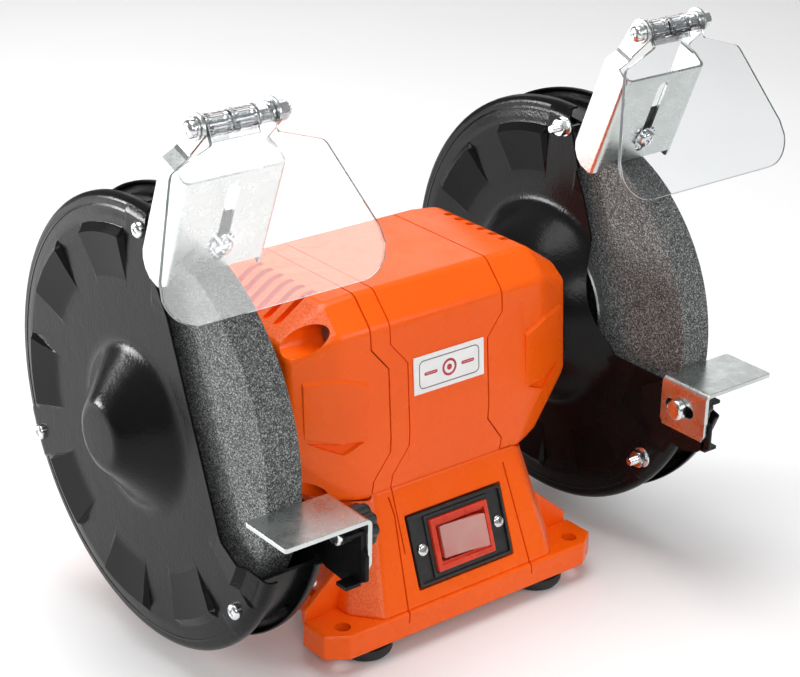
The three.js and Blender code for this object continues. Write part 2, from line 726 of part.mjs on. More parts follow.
// The rocker sits pressed at its left end and tips to the right about a pivot across its middle.
function rocker() {
  const shape = new THREE.Shape([
    [-ROCKER.halfWidth, 1.5], [0, 2.4], [ROCKER.halfWidth, 7.8], [ROCKER.halfWidth, 3.4], [5, -7.5],
    [-5, -7.5], [-ROCKER.halfWidth, -2.6],
  ].reverse().map(([u, n]) => new THREE.Vector2(u, n)));
  return onPanel(alongPanel(shape, ROCKER.halfHeight));
}

// Turns an outline in (u, n) into a prism that runs up and down the panel.
function alongPanel(shape, half) {
  return prismOf("y", shape, -half, half);
}

// A thin clear cap that follows the rocker's top.
function rockerCover() {
  const shape = new THREE.Shape([
    [-ROCKER.halfWidth, 1.9], [0, 2.8], [ROCKER.halfWidth, 8.2], [ROCKER.halfWidth, 9.6], [0, 4.2],
    [-ROCKER.halfWidth, 3.3],
  ].map(([u, n]) => new THREE.Vector2(u, n)));
  return onPanel(alongPanel(shape, ROCKER.halfHeight));
}

// ---------------------------------------------------------------- small fittings
function labelPlate() {
  const z0 = 130.5;
  const z1 = 150.5;
  return hull([-22.8, 22.8].flatMap((x) => {
    return [[x, shellFrontY(z0) - GAP, z0], [x, shellFrontY(z1) - GAP, z1],
      [x, shellFrontY(z0) - 0.9, z0], [x, shellFrontY(z1) - 0.9, z1]];
  }));
}

// The front of the shell between its waist heights.
function shellFrontY(z) {
  return -(54.5 + ((151 - z) * (57.3 - 54.5)) / (151 - 112));
}

function foot() {
  const profile = [[0, 12.5], [1.5, 13.6], [6.5, FOOT_RADIUS], [BASE_BOTTOM - GAP, FOOT_RADIUS]];
  const points = [new THREE.Vector2(0, 0), ...profile.map(([z, r]) => new THREE.Vector2(r, z)),
    new THREE.Vector2(0, BASE_BOTTOM - GAP)];
  return solid(new THREE.LatheGeometry(points, 16).rotateX(Math.PI / 2));
}

function cableGland() {
  const z = 50;
  const shape = join(
    cylinder("y", 8, 58, 74, 0, z, 16),
    cylinder("y", 11.5, 73, 76.5, 0, z, 16),
    cylinder("y", 6.5, 76, 86, 0, z, 16),
  );
  return cut(shape, cylinder("y", 3.6, 50, 90, 0, z, 12));
}

function throughBolt(y, z) {
  return join(
    cylinder("x", 5.2, -BOLT_SEAT_X - 5, -BOLT_SEAT_X - GAP, y, z, 10),
    cylinder("x", 2.3, -BOLT_SEAT_X - 1, BOLT_END_X, y, z, 8),
  );
}

// ---------------------------------------------------------------- assembly
const SIDES = [["left", -1], ["right", 1]];

function addHousing() {
  add("centre_housing", toGeometry(centreHousing()), "orange");
  for (const [name, side] of SIDES) {
    add(`end_bell_${name}`, toGeometry(endBell(side)), "orange");
    add(`bearing_${name}`, toGeometry(bearing(side)), "steel");
    add(`winding_${name}`, toGeometry(winding(side)), "copper");
  }
  const cover = box(-65.7, 65.7, -69.7, 69.7, BASE_BOTTOM, BASE_BOTTOM + 2.5);
  add("bottom_plate", toGeometry(cover), "blackSheet");
  add("label_plate", toGeometry(labelPlate()), "label");
  add("cable_gland", toGeometry(cableGland()), "blackPlastic");
  add("stator_core", toGeometry(ring(-21.5, 21.5, 28.5, CAVITY_RADIUS - GAP)), "iron");
  add("capacitor", toGeometry(cylinder("x", 15, -28, 28, 30, 32, 24)), "alloy");
  boltCentres().forEach(([y, z], index) => {
    add(`through_bolt_${index + 1}`, toGeometry(throughBolt(y, z)), "zinc");
  });
  for (const [rowName, row] of [["front", -1], ["rear", 1]]) {
    for (const [name, side] of SIDES) {
      const geometry = toGeometry(foot());
      geometry.translate(side * FOOT_X, row * FOOT_Y, 0);
      add(`foot_${rowName}_${name}`, geometry, "rubber");
    }
  }
}

function addSwitch() {
  add("switch_bezel", toGeometry(switchBezel()), "blackPlastic");
  add("bezel_screw_left", toGeometry(bezelScrew(-25.3)), "zinc");
  add("bezel_screw_right", toGeometry(bezelScrew(25.3)), "zinc");
  add("switch_body", toGeometry(switchBody()), "red");
  add("rocker", toGeometry(rocker()), "red");
  add("rocker_cover", toGeometry(rockerCover()), "clear");
}

function addRotor() {
  add("shaft", toGeometry(shaft()), "steel");
  add("rotor_core", toGeometry(ring(-21, 21, 12 + GAP, 27.5)), "iron");
  for (const [name, side] of SIDES) {
    add(`wheel_${name}`, toGeometry(wheel()), "stone", side * WHEEL_X);
    add(`wheel_flange_inner_${name}`, toGeometry(wheelFlange(side, true)), "zinc");
    add(`wheel_flange_outer_${name}`, toGeometry(wheelFlange(side, false)), "zinc");
    add(`spindle_nut_${name}`, toGeometry(spindleNut(side)), "zinc");
  }
}

function addGuards() {
  const middle = (GUARD_INNER_X + GUARD_OUTER_X) / 2;
  for (const [name, side] of SIDES) {
    add(`guard_inner_${name}`, toGeometry(guardInnerPlate(side)), "blackSheet");
    add(`guard_outer_${name}`, toGeometry(guardOuterPlate(side)), "blackSheet");
    add(`guard_band_${name}`, toGeometry(guardBand()), "blackSheet", side * middle);
    add(`clamp_screw_${name}`, toGeometry(clampScrew()), "zinc", side * WHEEL_X);
    add(`rest_arm_${name}`, toGeometry(restArm(side)), "blackSheet");
  }
}

function addShieldsAndRests() {
  for (const [name, side] of SIDES) {
    const x = side * WHEEL_X;
    add(`shield_bracket_${name}`, toGeometry(shieldBracket()), "zinc", x);
    add(`hinge_bolt_${name}`, toGeometry(hingeBolt()), "zinc", x);
    add(`hinge_nut_${name}`, toGeometry(hingeNut()), "zinc", x);
    add(`shield_${name}`, toGeometry(shield()), "clear", x);
    add(`tool_rest_${name}`, toGeometry(toolRest(side)), "zinc");
    add(`rest_bolt_${name}`, toGeometry(restBolt(side)), "zinc");
    add(`rest_knob_${name}`, toGeometry(knob(side)), "blackPlastic");
  }
}

addHousing();
addSwitch();
addRotor();
addGuards();
addShieldsAndRests();

export default grinder;
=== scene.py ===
"""Bench grinder: detailed pieces and materials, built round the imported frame."""
import math

import bmesh
import bpy
from mathutils import Matrix, Vector


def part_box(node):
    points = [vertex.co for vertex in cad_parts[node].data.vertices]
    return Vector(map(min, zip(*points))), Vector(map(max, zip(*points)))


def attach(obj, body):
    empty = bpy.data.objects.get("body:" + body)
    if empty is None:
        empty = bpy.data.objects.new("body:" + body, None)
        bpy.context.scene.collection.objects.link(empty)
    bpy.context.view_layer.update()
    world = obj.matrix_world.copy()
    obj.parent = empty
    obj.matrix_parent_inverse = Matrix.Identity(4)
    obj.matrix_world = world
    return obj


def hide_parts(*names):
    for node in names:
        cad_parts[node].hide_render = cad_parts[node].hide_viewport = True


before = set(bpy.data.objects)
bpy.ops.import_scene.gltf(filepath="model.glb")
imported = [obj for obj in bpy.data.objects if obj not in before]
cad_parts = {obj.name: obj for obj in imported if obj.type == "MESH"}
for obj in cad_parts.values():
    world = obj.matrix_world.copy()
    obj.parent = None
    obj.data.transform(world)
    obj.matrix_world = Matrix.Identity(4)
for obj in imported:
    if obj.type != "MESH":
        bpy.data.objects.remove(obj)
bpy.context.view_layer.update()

# ------------------------------------------------------------------ driving sizes
# Shapes are drawn in millimetres, with x = 0 in the middle, the shaft over y = 0 and the floor at z = 0.
MM = 0.001
WHEEL_LOW, WHEEL_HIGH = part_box("wheel_right")
SHAFT_Y = (WHEEL_LOW.y + WHEEL_HIGH.y) / 2
SHAFT_Z = (WHEEL_LOW.z + WHEEL_HIGH.z) / 2 / MM
WHEEL_X = (WHEEL_LOW.x + WHEEL_HIGH.x) / 2 / MM
WHEEL_RADIUS = (WHEEL_HIGH.z - WHEEL_LOW.z) / 2 / MM
WHEEL_HALF = (WHEEL_HIGH.x - WHEEL_LOW.x) / 2 / MM
TO_FRAME = Matrix.Translation((0, SHAFT_Y, 0)) @ Matrix.Scale(MM, 4)

SIDES = (("left", -1), ("right", 1))

GUARD_OUTER_X = 150.0
GUARD_INNER_X = 114.7
GUARD_SHEET = 1.2
RIM_RADIUS = 115.2
SCREW_CIRCLE = 105.0
SCREW_ANGLES = (84.6, 203.4, 323.3)
PAD_PITCH = 39.6
PAD_FIRST = 104.0
PAD_HALF = 11.8
PAD_INNER, PAD_PEAK, PAD_OUTER = 74.5, 96.8, 101.2
PAD_HEIGHT = 3.4

BELT_HALF, BELT_WAIST = 36.0, 25.8
LEFT_EXTRA = 11.5
JOINT_GAP = 0.9

PANEL_TILT = math.atan2(0.34, 0.94)
PANEL_POINT = Vector((0, -66.7, 48.5))

BRACKET_LEAN = math.radians(20.8)
BRACKET_TOP = Vector((0, -64.5, 272.0))
HINGE = Vector((0, -64.0, 297.0))
CLAMP_W = 39.5

REST_CLAMP = (-114.5, 109)
GLAND_Z = 50
EAR_BOLT_X, EAR_BOLT_Y, EAR_BOLT_RADIUS = 76.7, 70, 4.2


# ------------------------------------------------------------------ mesh helpers
def bridge(bm, one, two):
    """Faces between two closed rings with the same number of points."""
    for i in range(len(one)):
        j = (i + 1) % len(one)
        bm.faces.new((one[i], one[j], two[j], two[i]))


def hull(points):
    bm = bmesh.new()
    for point in points:
        bm.verts.new(point)
    made = bmesh.ops.convex_hull(bm, input=bm.verts)
    loose = {item for key in ("geom_interior", "geom_unused") for item in made[key]}
    spare = [item for item in loose if isinstance(item, bmesh.types.BMVert)]
    bmesh.ops.delete(bm, geom=spare, context="VERTS")
    bmesh.ops.dissolve_limit(bm, angle_limit=math.radians(1.5), verts=bm.verts, edges=bm.edges)
    return bm


def box(x0, x1, y0, y1, z0, z1):
    return hull([(x, y, z) for x in (x0, x1) for y in (y0, y1) for z in (z0, z1)])


def prism(axis, outline, low, high):
    """An outline of (a, b) pairs, pushed along the axis that is left: (y, z) along x and so on."""
    place = {
        "x": lambda a, b, c: (c, a, b),
        "y": lambda a, b, c: (a, c, b),
        "z": lambda a, b, c: (a, b, c),
    }[axis]
    bm = bmesh.new()
    ends = [[bm.verts.new(place(a, b, c)) for a, b in outline] for c in (low, high)]
    bm.faces.new(ends[0])
    bm.faces.new(ends[1])
    bridge(bm, *ends)
    bmesh.ops.recalc_face_normals(bm, faces=bm.faces)
    return bm


def turned(profile, segments=48, centre=(0.0, 0.0)):
    """A body of revolution about an axis along x through (y, z), from (x, radius) pairs.

    The profile starts and ends on the axis, or closes on itself.
    """
    bm = bmesh.new()
    closed = profile[0][1] > 0
    rings = []
    for x, radius in profile:
        if radius <= 0:
            rings.append([bm.verts.new((x, centre[0], centre[1]))] * segments)
            continue
        angles = (2 * math.pi * i / segments for i in range(segments))
        rings.append([
            bm.verts.new((x, centre[0] + radius * math.cos(a), centre[1] + radius * math.sin(a)))
            for a in angles
        ])
    spans = list(zip(rings, rings[1:]))
    if closed:
        spans.append((rings[-1], rings[0]))
    for one, two in spans:
        for i in range(segments):
            j = (i + 1) % segments
            corners = []
            for vert in (one[i], one[j], two[j], two[i]):
                if vert not in corners:
                    corners.append(vert)
            if len(corners) > 2:
                bm.faces.new(corners)
    bmesh.ops.recalc_face_normals(bm, faces=bm.faces)
    return bm


def rod(x0, x1, radius, centre=(0.0, 0.0), segments=32):
    return turned([(x0, 0), (x0, radius), (x1, radius), (x1, 0)], segments, centre)


def bevelled(bm, width, segments=3, angle=20):
    limit = math.radians(angle)
    edges = [e for e in bm.edges if len(e.link_faces) == 2 and e.calc_face_angle(0) > limit]
    bmesh.ops.bevel(bm, geom=edges, offset=width, offset_type="OFFSET", segments=segments, profile=0.5,
                    affect="EDGES", clamp_overlap=True)
    return bm


def moved(bm, matrix):
    bmesh.ops.transform(bm, matrix=matrix, verts=bm.verts)
    if matrix.determinant() < 0:
        bmesh.ops.reverse_faces(bm, faces=bm.faces)
    return bm


def mirrored(bm, side):
    """Turns a piece drawn on the right-hand side into one for the side asked for."""
    return bm if side > 0 else moved(bm, Matrix.Diagonal((-1, 1, 1, 1)))


def shifted(bm, x=0.0, y=0.0, z=0.0):
    return moved(bm, Matrix.Translation((x, y, z)))


def joined(*parts):
    whole = bmesh.new()
    for part in parts:
        mesh = bpy.data.meshes.new("part")
        part.to_mesh(mesh)
        whole.from_mesh(mesh)
        part.free()
        bpy.data.meshes.remove(mesh)
    return whole


def loose_object(name, bm):
    mesh = bpy.data.meshes.new(name)
    bm.to_mesh(mesh)
    bm.free()
    obj = bpy.data.objects.new(name, mesh)
    bpy.context.collection.objects.link(obj)
    return obj


def applied(obj):
    """The mesh that an object's modifiers make."""
    graph = bpy.context.evaluated_depsgraph_get()
    return bpy.data.meshes.new_from_object(obj.evaluated_get(graph))


def taken(mesh, *spent):
    """A bmesh of the mesh. The mesh and the objects that it came from are removed."""
    result = bmesh.new()
    result.from_mesh(mesh)
    for obj in spent:
        data = obj.data
        bpy.data.objects.remove(obj)
        bpy.data.meshes.remove(data)
    bpy.data.meshes.remove(mesh)
    return result


def combined(solid, tool, operation="DIFFERENCE"):
    """Boolean of two bmeshes. Both are used up."""
    target = loose_object("target", solid)
    other = loose_object("other", tool)
    modifier = target.modifiers.new("boolean", "BOOLEAN")
    modifier.operation = operation
    modifier.solver = "EXACT"
    modifier.object = other
    return taken(applied(target), target, other)


def cut(solid, *tools):
    for tool in tools:
        solid = combined(solid, tool)
    return solid


def node_box(node):
    """A CAD node's lowest and highest corners, in millimetres."""
    return [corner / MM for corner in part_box(node)]


def cad_copy(node):
    """The CAD node's own shape in millimetres, welded and with its flat faces whole."""
    bm = bmesh.new()
    bm.from_mesh(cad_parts[node].data)
    moved(bm, TO_FRAME.inverted())
    bmesh.ops.remove_doubles(bm, verts=bm.verts, dist=0.005)
    bmesh.ops.dissolve_limit(bm, angle_limit=math.radians(1), verts=bm.verts, edges=bm.edges)
    return bm


def piece(name, bm, body, look, *nodes, smooth=32):
    """Makes the finished object: in place, shaded, riding on its body, in the place of its CAD nodes.

    look names the material in LOOKS. An edge is sharp past smooth degrees, and 0 keeps every face flat.
    """
    bmesh.ops.remove_doubles(bm, verts=bm.verts, dist=0.0005)
    moved(bm, TO_FRAME)
    obj = loose_object(name, bm)
    if smooth:
        obj.data.shade_smooth()
        obj.data.set_sharp_from_angle(angle=math.radians(smooth))
        weigh_normals(obj)
    obj.data.materials.append(LOOKS[look])
    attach(obj, body)
    if nodes:
        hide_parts(*nodes)
    return obj


def weigh_normals(obj):
    """Keeps wide flat faces flat in the shading, so that only the bevels and bends look round."""
    modifier = obj.modifiers.new("normals", "WEIGHTED_NORMAL")
    modifier.weight = 100
    modifier.keep_sharp = True
    mesh = applied(obj)
    plain = obj.data
    obj.modifiers.clear()
    obj.data = mesh
    bpy.data.meshes.remove(plain)


# ------------------------------------------------------------------ materials
class Look:
    """A node-based material, built a few nodes at a time from object-space textures."""

    def __init__(self, name, roughness, metallic=0.0, **fixed):
        self.material = bpy.data.materials.new(name)
        self.material.use_nodes = True
        self.nodes = self.material.node_tree.nodes
        self.links = self.material.node_tree.links
        self.shader = self.nodes["Principled BSDF"]
        self.shader.inputs["Metallic"].default_value = metallic
        self.shader.inputs["Roughness"].default_value = roughness
        for socket, value in fixed.items():
            self.shader.inputs[socket.replace("_", " ")].default_value = value
        self.place = self.nodes.new("ShaderNodeTexCoord").outputs["Object"]
        self.height = None

    def link(self, source, target):
        self.links.new(source, target)

    def stretched(self, scale):
        mapping = self.nodes.new("ShaderNodeMapping")
        mapping.inputs["Scale"].default_value = scale
        self.link(self.place, mapping.inputs["Vector"])
        return mapping.outputs["Vector"]

    def noise(self, scale, detail=3.0, rough=0.5, stretch=None):
        node = self.nodes.new("ShaderNodeTexNoise")
        node.inputs["Scale"].default_value = scale
        node.inputs["Detail"].default_value = detail
        node.inputs["Roughness"].default_value = rough
        self.link(self.stretched(stretch) if stretch else self.place, node.inputs["Vector"])
        return node.outputs["Fac"]

    def cells(self, scale, output="Distance"):
        node = self.nodes.new("ShaderNodeTexVoronoi")
        node.inputs["Scale"].default_value = scale
        self.link(self.place, node.inputs["Vector"])
        return node.outputs[output]

    def ramp(self, factor, *stops):
        """Colours or greys at places along a factor: (place, colour) pairs."""
        node = self.nodes.new("ShaderNodeValToRGB")
        elements = node.color_ramp.elements
        while len(elements) < len(stops):
            elements.new(0.5)
        for element, (at, value) in zip(elements, stops):
            element.position = at
            element.color = (*value, 1) if isinstance(value, tuple) else (value, value, value, 1)
        self.link(factor, node.inputs["Fac"])
        return node.outputs["Color"]

    def mixed(self, factor, first, second):
        node = self.nodes.new("ShaderNodeMix")
        node.data_type = "RGBA"
        self.link(factor, node.inputs[0])
        for value, socket in ((first, node.inputs[6]), (second, node.inputs[7])):
            if isinstance(value, tuple):
                socket.default_value = (*value, 1)
            else:
                self.link(value, socket)
        return node.outputs[2]

    def colour(self, source):
        self.link(source, self.shader.inputs["Base Color"])
        return self

    def roughness(self, source):
        self.link(source, self.shader.inputs["Roughness"])
        return self

    def bump(self, source, strength, distance):
        """Adds a layer of relief on top of the ones already there."""
        node = self.nodes.new("ShaderNodeBump")
        node.inputs["Strength"].default_value = strength
        node.inputs["Distance"].default_value = distance
        self.link(source, node.inputs["Height"])
        if self.height is not None:
            self.link(self.height, node.inputs["Normal"])
        self.height = node.outputs["Normal"]
        self.link(self.height, self.shader.inputs["Normal"])
        return self

    def done(self):
        return self.material


def orange_paint():
    look = Look("orange_paint", 0.3, Specular_IOR_Level=0.26)
    tone = look.ramp(look.noise(9, 2), (0.3, (0.93, 0.108, 0.003)), (0.7, (1.0, 0.128, 0.004)))
    dust = look.ramp(look.noise(160, 5, 0.7), (0.64, 0.0), (0.88, 0.1))
    look.colour(look.mixed(dust, tone, (0.95, 0.28, 0.09)))
    look.roughness(look.ramp(look.noise(60, 4), (0.3, 0.22), (0.75, 0.34)))
    look.bump(look.noise(520, 2), 0.10, 0.0004)
    return look.bump(look.noise(95, 1), 0.06, 0.0012).done()


def orange_stipple():
    look = Look("orange_stipple", 0.42, Coat_Weight=0.2, Coat_Roughness=0.2)
    grain = look.noise(900, 2, 0.6)
    look.colour(look.ramp(grain, (0.35, (0.88, 0.10, 0.008)), (0.62, (1.0, 0.17, 0.035))))
    look.roughness(look.ramp(look.noise(400, 2), (0.3, 0.34), (0.7, 0.55)))
    return look.bump(grain, 0.55, 0.0007).done()


def black_paint():
    look = Look("black_paint", 0.24, Specular_IOR_Level=0.13)
    wear = look.ramp(look.noise(240, 6, 0.75), (0.68, 0.0), (0.82, 0.3))
    tone = look.ramp(look.noise(14, 3), (0.3, (0.0045, 0.0045, 0.005)), (0.7, (0.008, 0.008, 0.0085)))
    look.colour(look.mixed(wear, tone, (0.03, 0.03, 0.03)))
    look.roughness(look.ramp(look.noise(80, 5), (0.3, 0.17), (0.75, 0.28)))
    look.bump(look.noise(680, 2), 0.22, 0.0005)
    return look.bump(look.noise(120, 1), 0.08, 0.0012).done()


def black_pad_shade():
    """A darker, less shiny copy of the black paint for the pads' sloping tops: painted shade for how their
    tilt catches the light.
    """
    look = Look("black_pad_shade", 0.2, Specular_IOR_Level=0.09)
    look.colour(look.ramp(look.noise(14, 3), (0.3, (0.004, 0.004, 0.0045)), (0.7, (0.007, 0.007, 0.0075))))
    look.roughness(look.ramp(look.noise(80, 5), (0.3, 0.15), (0.75, 0.24)))
    return look.bump(look.noise(680, 2), 0.1, 0.0004).done()


def rocker_cover_sheen():
    # Pinkish white on a clear cover: painted reflection, standing in for the sheen that the clear cover over
    # the red rocker throws back.
    look = Look("rocker_cover_sheen", 0.1, IOR=1.45, Transmission_Weight=0.55)
    look.colour(look.ramp(look.noise(60, 3), (0.3, (0.95, 0.5, 0.45)), (0.7, (1.0, 0.68, 0.62))))
    look.roughness(look.ramp(look.noise(90, 4), (0.4, 0.05), (0.8, 0.16)))
    return look.bump(look.noise(160, 2), 0.12, 0.0006).done()


def black_plastic():
    look = Look("black_plastic", 0.42)
    look.colour(look.ramp(look.noise(300, 4), (0.3, 0.008), (0.75, 0.02)))
    look.roughness(look.ramp(look.noise(50, 4), (0.3, 0.34), (0.7, 0.5)))
    return look.bump(look.noise(1400, 2), 0.2, 0.0003).done()


def foot_rubber():
    look = Look("foot_rubber", 0.62)
    look.colour(look.ramp(look.noise(180, 5), (0.3, 0.006), (0.8, 0.022)))
    look.roughness(look.ramp(look.noise(90, 4), (0.3, 0.45), (0.7, 0.75)))
    return look.bump(look.noise(900, 3), 0.3, 0.0003).done()


def zinc_plate():
    look = Look("zinc_plate", 0.3, metallic=1.0)
    clouds = look.ramp(look.noise(45, 4, 0.6), (0.25, (0.52, 0.56, 0.54)), (0.75, (0.68, 0.70, 0.69)))
    spangle = look.ramp(look.noise(420, 3, 0.7), (0.42, 0.0), (0.75, 0.3))
    look.colour(look.mixed(spangle, clouds, (0.62, 0.66, 0.65)))
    look.roughness(look.ramp(look.noise(130, 5, 0.7), (0.3, 0.22), (0.72, 0.36)))
    look.bump(look.noise(700, 3), 0.1, 0.0002)
    return look.bump(look.noise(60, 2, stretch=(1, 14, 14)), 0.04, 0.0002).done()


def bright_zinc():
    look = Look("bright_zinc", 0.2, metallic=1.0)
    look.colour(look.ramp(look.noise(300, 4), (0.3, (0.62, 0.64, 0.66)), (0.7, (0.86, 0.87, 0.87))))
    look.roughness(look.ramp(look.noise(260, 4), (0.3, 0.13), (0.7, 0.3)))
    return look.bump(look.noise(1200, 2), 0.1, 0.0002).done()


def abrasive():
    look = Look("abrasive", 0.92, Specular_IOR_Level=0.3)
    grit = 1900
    grains = look.ramp(look.cells(grit, "Color"), (0.12, (0.022, 0.023, 0.022)), (0.42, (0.10, 0.105, 0.103)),
                       (0.66, (0.20, 0.21, 0.205)), (0.95, (0.58, 0.60, 0.59)))
    pores = look.ramp(look.noise(1500, 3, 0.6), (0.34, 0.5), (0.48, 0.0))
    speckled = look.mixed(pores, grains, (0.012, 0.012, 0.012))
    tint = look.ramp(look.noise(20, 3), (0.3, 0.0), (0.7, 0.2))
    look.colour(look.mixed(tint, speckled, (0.12, 0.125, 0.12)))
    return look.bump(look.cells(grit), 0.5, 0.0004).done()


def clear_plastic():
    look = Look("clear_plastic", 0.02, IOR=1.5, Transmission_Weight=1.0)
    look.colour(look.ramp(look.noise(8, 3), (0.3, (0.93, 0.95, 0.96)), (0.7, (0.97, 0.98, 0.99))))
    look.roughness(look.ramp(look.noise(70, 6, 0.7), (0.5, 0.01), (0.85, 0.06)))
    return look.bump(look.noise(12, 2), 0.02, 0.001).done()


def shield_edge_shade():
    # Dark grey on the clear sheet's cut edges: painted shade standing in for the dark lines seen along a
    # clear sheet's edges.
    look = Look("shield_edge_shade", 0.1, IOR=1.5, Transmission_Weight=0.5)
    look.colour(look.ramp(look.noise(40, 3), (0.35, (0.2, 0.22, 0.23)), (0.7, (0.4, 0.43, 0.44))))
    return look.bump(look.noise(220, 2), 0.1, 0.0005).done()


def switch_red():
    look = Look("switch_red", 0.3, Coat_Weight=0.2, Subsurface_Weight=0.08)
    look.colour(look.ramp(look.noise(40, 3), (0.3, (0.62, 0.035, 0.012)), (0.7, (0.80, 0.06, 0.022))))
    look.roughness(look.ramp(look.noise(120, 4), (0.3, 0.22), (0.7, 0.4)))
    return look.bump(look.noise(1100, 2), 0.1, 0.0003).done()


def label_white():
    look = Look("label_white", 0.32)
    look.colour(look.ramp(look.noise(70, 4), (0.3, (0.84, 0.84, 0.83)), (0.7, (0.92, 0.92, 0.91))))
    return look.bump(look.noise(900, 2), 0.05, 0.0002).done()


def label_ink(name, colour):
    look = Look(name, 0.38)
    darker = tuple(0.75 * c for c in colour)
    look.colour(look.ramp(look.noise(150, 3), (0.3, darker), (0.7, colour)))
    return look.bump(look.noise(900, 2), 0.05, 0.0002).done()


def plain_metal(name, dark, light, roughness):
    look = Look(name, roughness, metallic=1.0)
    look.colour(look.ramp(look.noise(140, 5), (0.3, dark), (0.7, light)))
    look.roughness(look.ramp(look.noise(200, 4), (0.3, roughness * 0.8), (0.7, min(1.0, roughness * 1.3))))
    return look.bump(look.noise(500, 3), 0.12, 0.0004).done()


LOOKS = {
    "orange": orange_paint(),
    "stipple": orange_stipple(),
    # The pads' darker black is painted shade, not a different paint.
    "black": black_paint(),
    "pressed": black_pad_shade(),
    # The rocker cover's whitish colour is painted reflection.
    "lens": rocker_cover_sheen(),
    "plastic": black_plastic(),
    "rubber": foot_rubber(),
    "zinc": zinc_plate(),
    "bright": bright_zinc(),
    "stone": abrasive(),
    "clear": clear_plastic(),
    # Painted shade along the shield sheets' edges.
    "edge": shield_edge_shade(),
    "red": switch_red(),
    "white": label_white(),
    "ink_red": label_ink("ink_red", (0.55, 0.03, 0.05)),
    "ink_grey": label_ink("ink_grey", (0.18, 0.12, 0.14)),
    "steel": plain_metal("steel", (0.42, 0.43, 0.44), (0.6, 0.6, 0.61), 0.3),
    "iron": plain_metal("iron", (0.2, 0.2, 0.21), (0.34, 0.34, 0.35), 0.55),
    "copper": plain_metal("copper", (0.55, 0.22, 0.09), (0.75, 0.36, 0.18), 0.35),
    "can": plain_metal("can", (0.5, 0.51, 0.52), (0.68, 0.69, 0.7), 0.38),
}


# ------------------------------------------------------------------ motor housing
SHELL_SECTION = [(38.6, 186), (52.5, 171.8), (54.5, 151), (57.3, 112), (56.5, 88), (54.9, 80.2), (40, 74)]
SHOULDER_SECTION = [(37.5, 184.5), (51, 171), (53, 151), (55.5, 112), (53, 92), (49, 83), (38, 77)]
END_SECTION = [(32, 168.4), (42, 161.4), (45.4, 113), (38, 97), (26, 90)]


def housing_hull(grow=0.0):
    """The hull of the shell and both bells. grow spreads it about the shaft, in millimetres."""
    points = []
    for x, section in ((50, SHELL_SECTION), (66, SHOULDER_SECTION), (90, END_SECTION)):
        points += [(sx * x, sy * y, z) for sx in (-1, 1) for sy in (-1, 1) for y, z in section]
    spread = 1 + grow / 55
    return hull([(x * spread, y * spread, SHAFT_Z + (z - SHAFT_Z) * spread) for x, y, z in points])


def belt_line(shift):
    """Half of the joint's outline, seen from the front, as (x, z) pairs from the bottom up."""
    wide, narrow = BELT_HALF + shift, BELT_WAIST + shift
    return [(wide, 50), (wide, 90), (narrow, 104), (narrow, 149), (wide, 161), (wide, 210)]


def belt_zone():
    left = [(-x, z) for x, z in reversed(belt_line(LEFT_EXTRA))]
    return prism("y", belt_line(0) + left, -90, 90)


def bell_zone(side, gap):
    shift = gap + (LEFT_EXTRA if side < 0 else 0)
    outline = [(side * x, z) for x, z in belt_line(shift) + [(130, 210), (130, 50)]]
    return prism("y", outline, -90, 90)


def belt_groove():
    """A fine line in the shell where the left-hand belt edge runs."""
    outline = [(-x, z) for x, z in belt_line(0.4)] + [(-x, z) for x, z in reversed(belt_line(-0.4))]
    band = prism("y", outline, -90, 90)
    return cut(band, housing_hull(-1.3))


def pedestal_body():
    top = [(47, -55.6), (54.5, -48), (54.5, 48), (47, 55.6)]
    foot = [(56, -78.6), (69, -63), (69, 63), (56, 78.6)]
    points = [(s * x, y, 84) for s in (-1, 1) for x, y in top]
    points += [(s * x, y, 22) for s in (-1, 1) for x, y in foot]
    return hull(points)


def base_outline():
    quarter = [(72, 0), (72, 50), (76, 54), (90, 54), (90, 72.1), (79, 79.6)]
    right = [(x, -y) for x, y in reversed(quarter)] + quarter[1:]
    return right + [(-x, y) for x, y in reversed(right)]


def on_panel(bm):
    """From panel axes (u right, v up the panel, n out of it) to the machine's."""
    turn = Matrix.Rotation(math.pi / 2 - PANEL_TILT, 4, "X")
    return moved(bm, Matrix.Translation(PANEL_POINT) @ turn)


def panel_line(start, end, width=0.9, depth=1.0):
    """A fine groove in the panel from one (u, v) to another."""
    along = Vector((end[0] - start[0], end[1] - start[1])).normalized()
    across = Vector((-along.y, along.x)) * width / 2
    corners = []
    for point in (start, end):
        for sign in (-1, 1):
            corners += [(point[0] + sign * across.x, point[1] + sign * across.y, n) for n in (-depth, 6)]
    return on_panel(hull(corners))


def z_rod(x, y, z0, z1, radius, segments=32):
    upright = rod(z0, z1, radius, segments=segments)
    return moved(upright, Matrix.Translation((x, y, 0)) @ Matrix.Rotation(-math.pi / 2, 4, "Y"))


def to_the_back(bm):
    """Turns a piece drawn along x to point out of the back, at the cable gland's height."""
    return moved(bm, Matrix.Translation((0, 0, GLAND_Z)) @ Matrix.Rotation(math.pi / 2, 4, "Z"))


def ear_ribs():
    ribs = []
    for sx in (-1, 1):
        for sy in (-1, 1):
            points = [(60, 20), (88, 20), (60, 52), (88, 28)]
            rib = hull([(sx * x, sy * y, z) for x, z in points for y in (50, 54)])
            ribs.append(bevelled(rib, 1.0, 2))
    return ribs


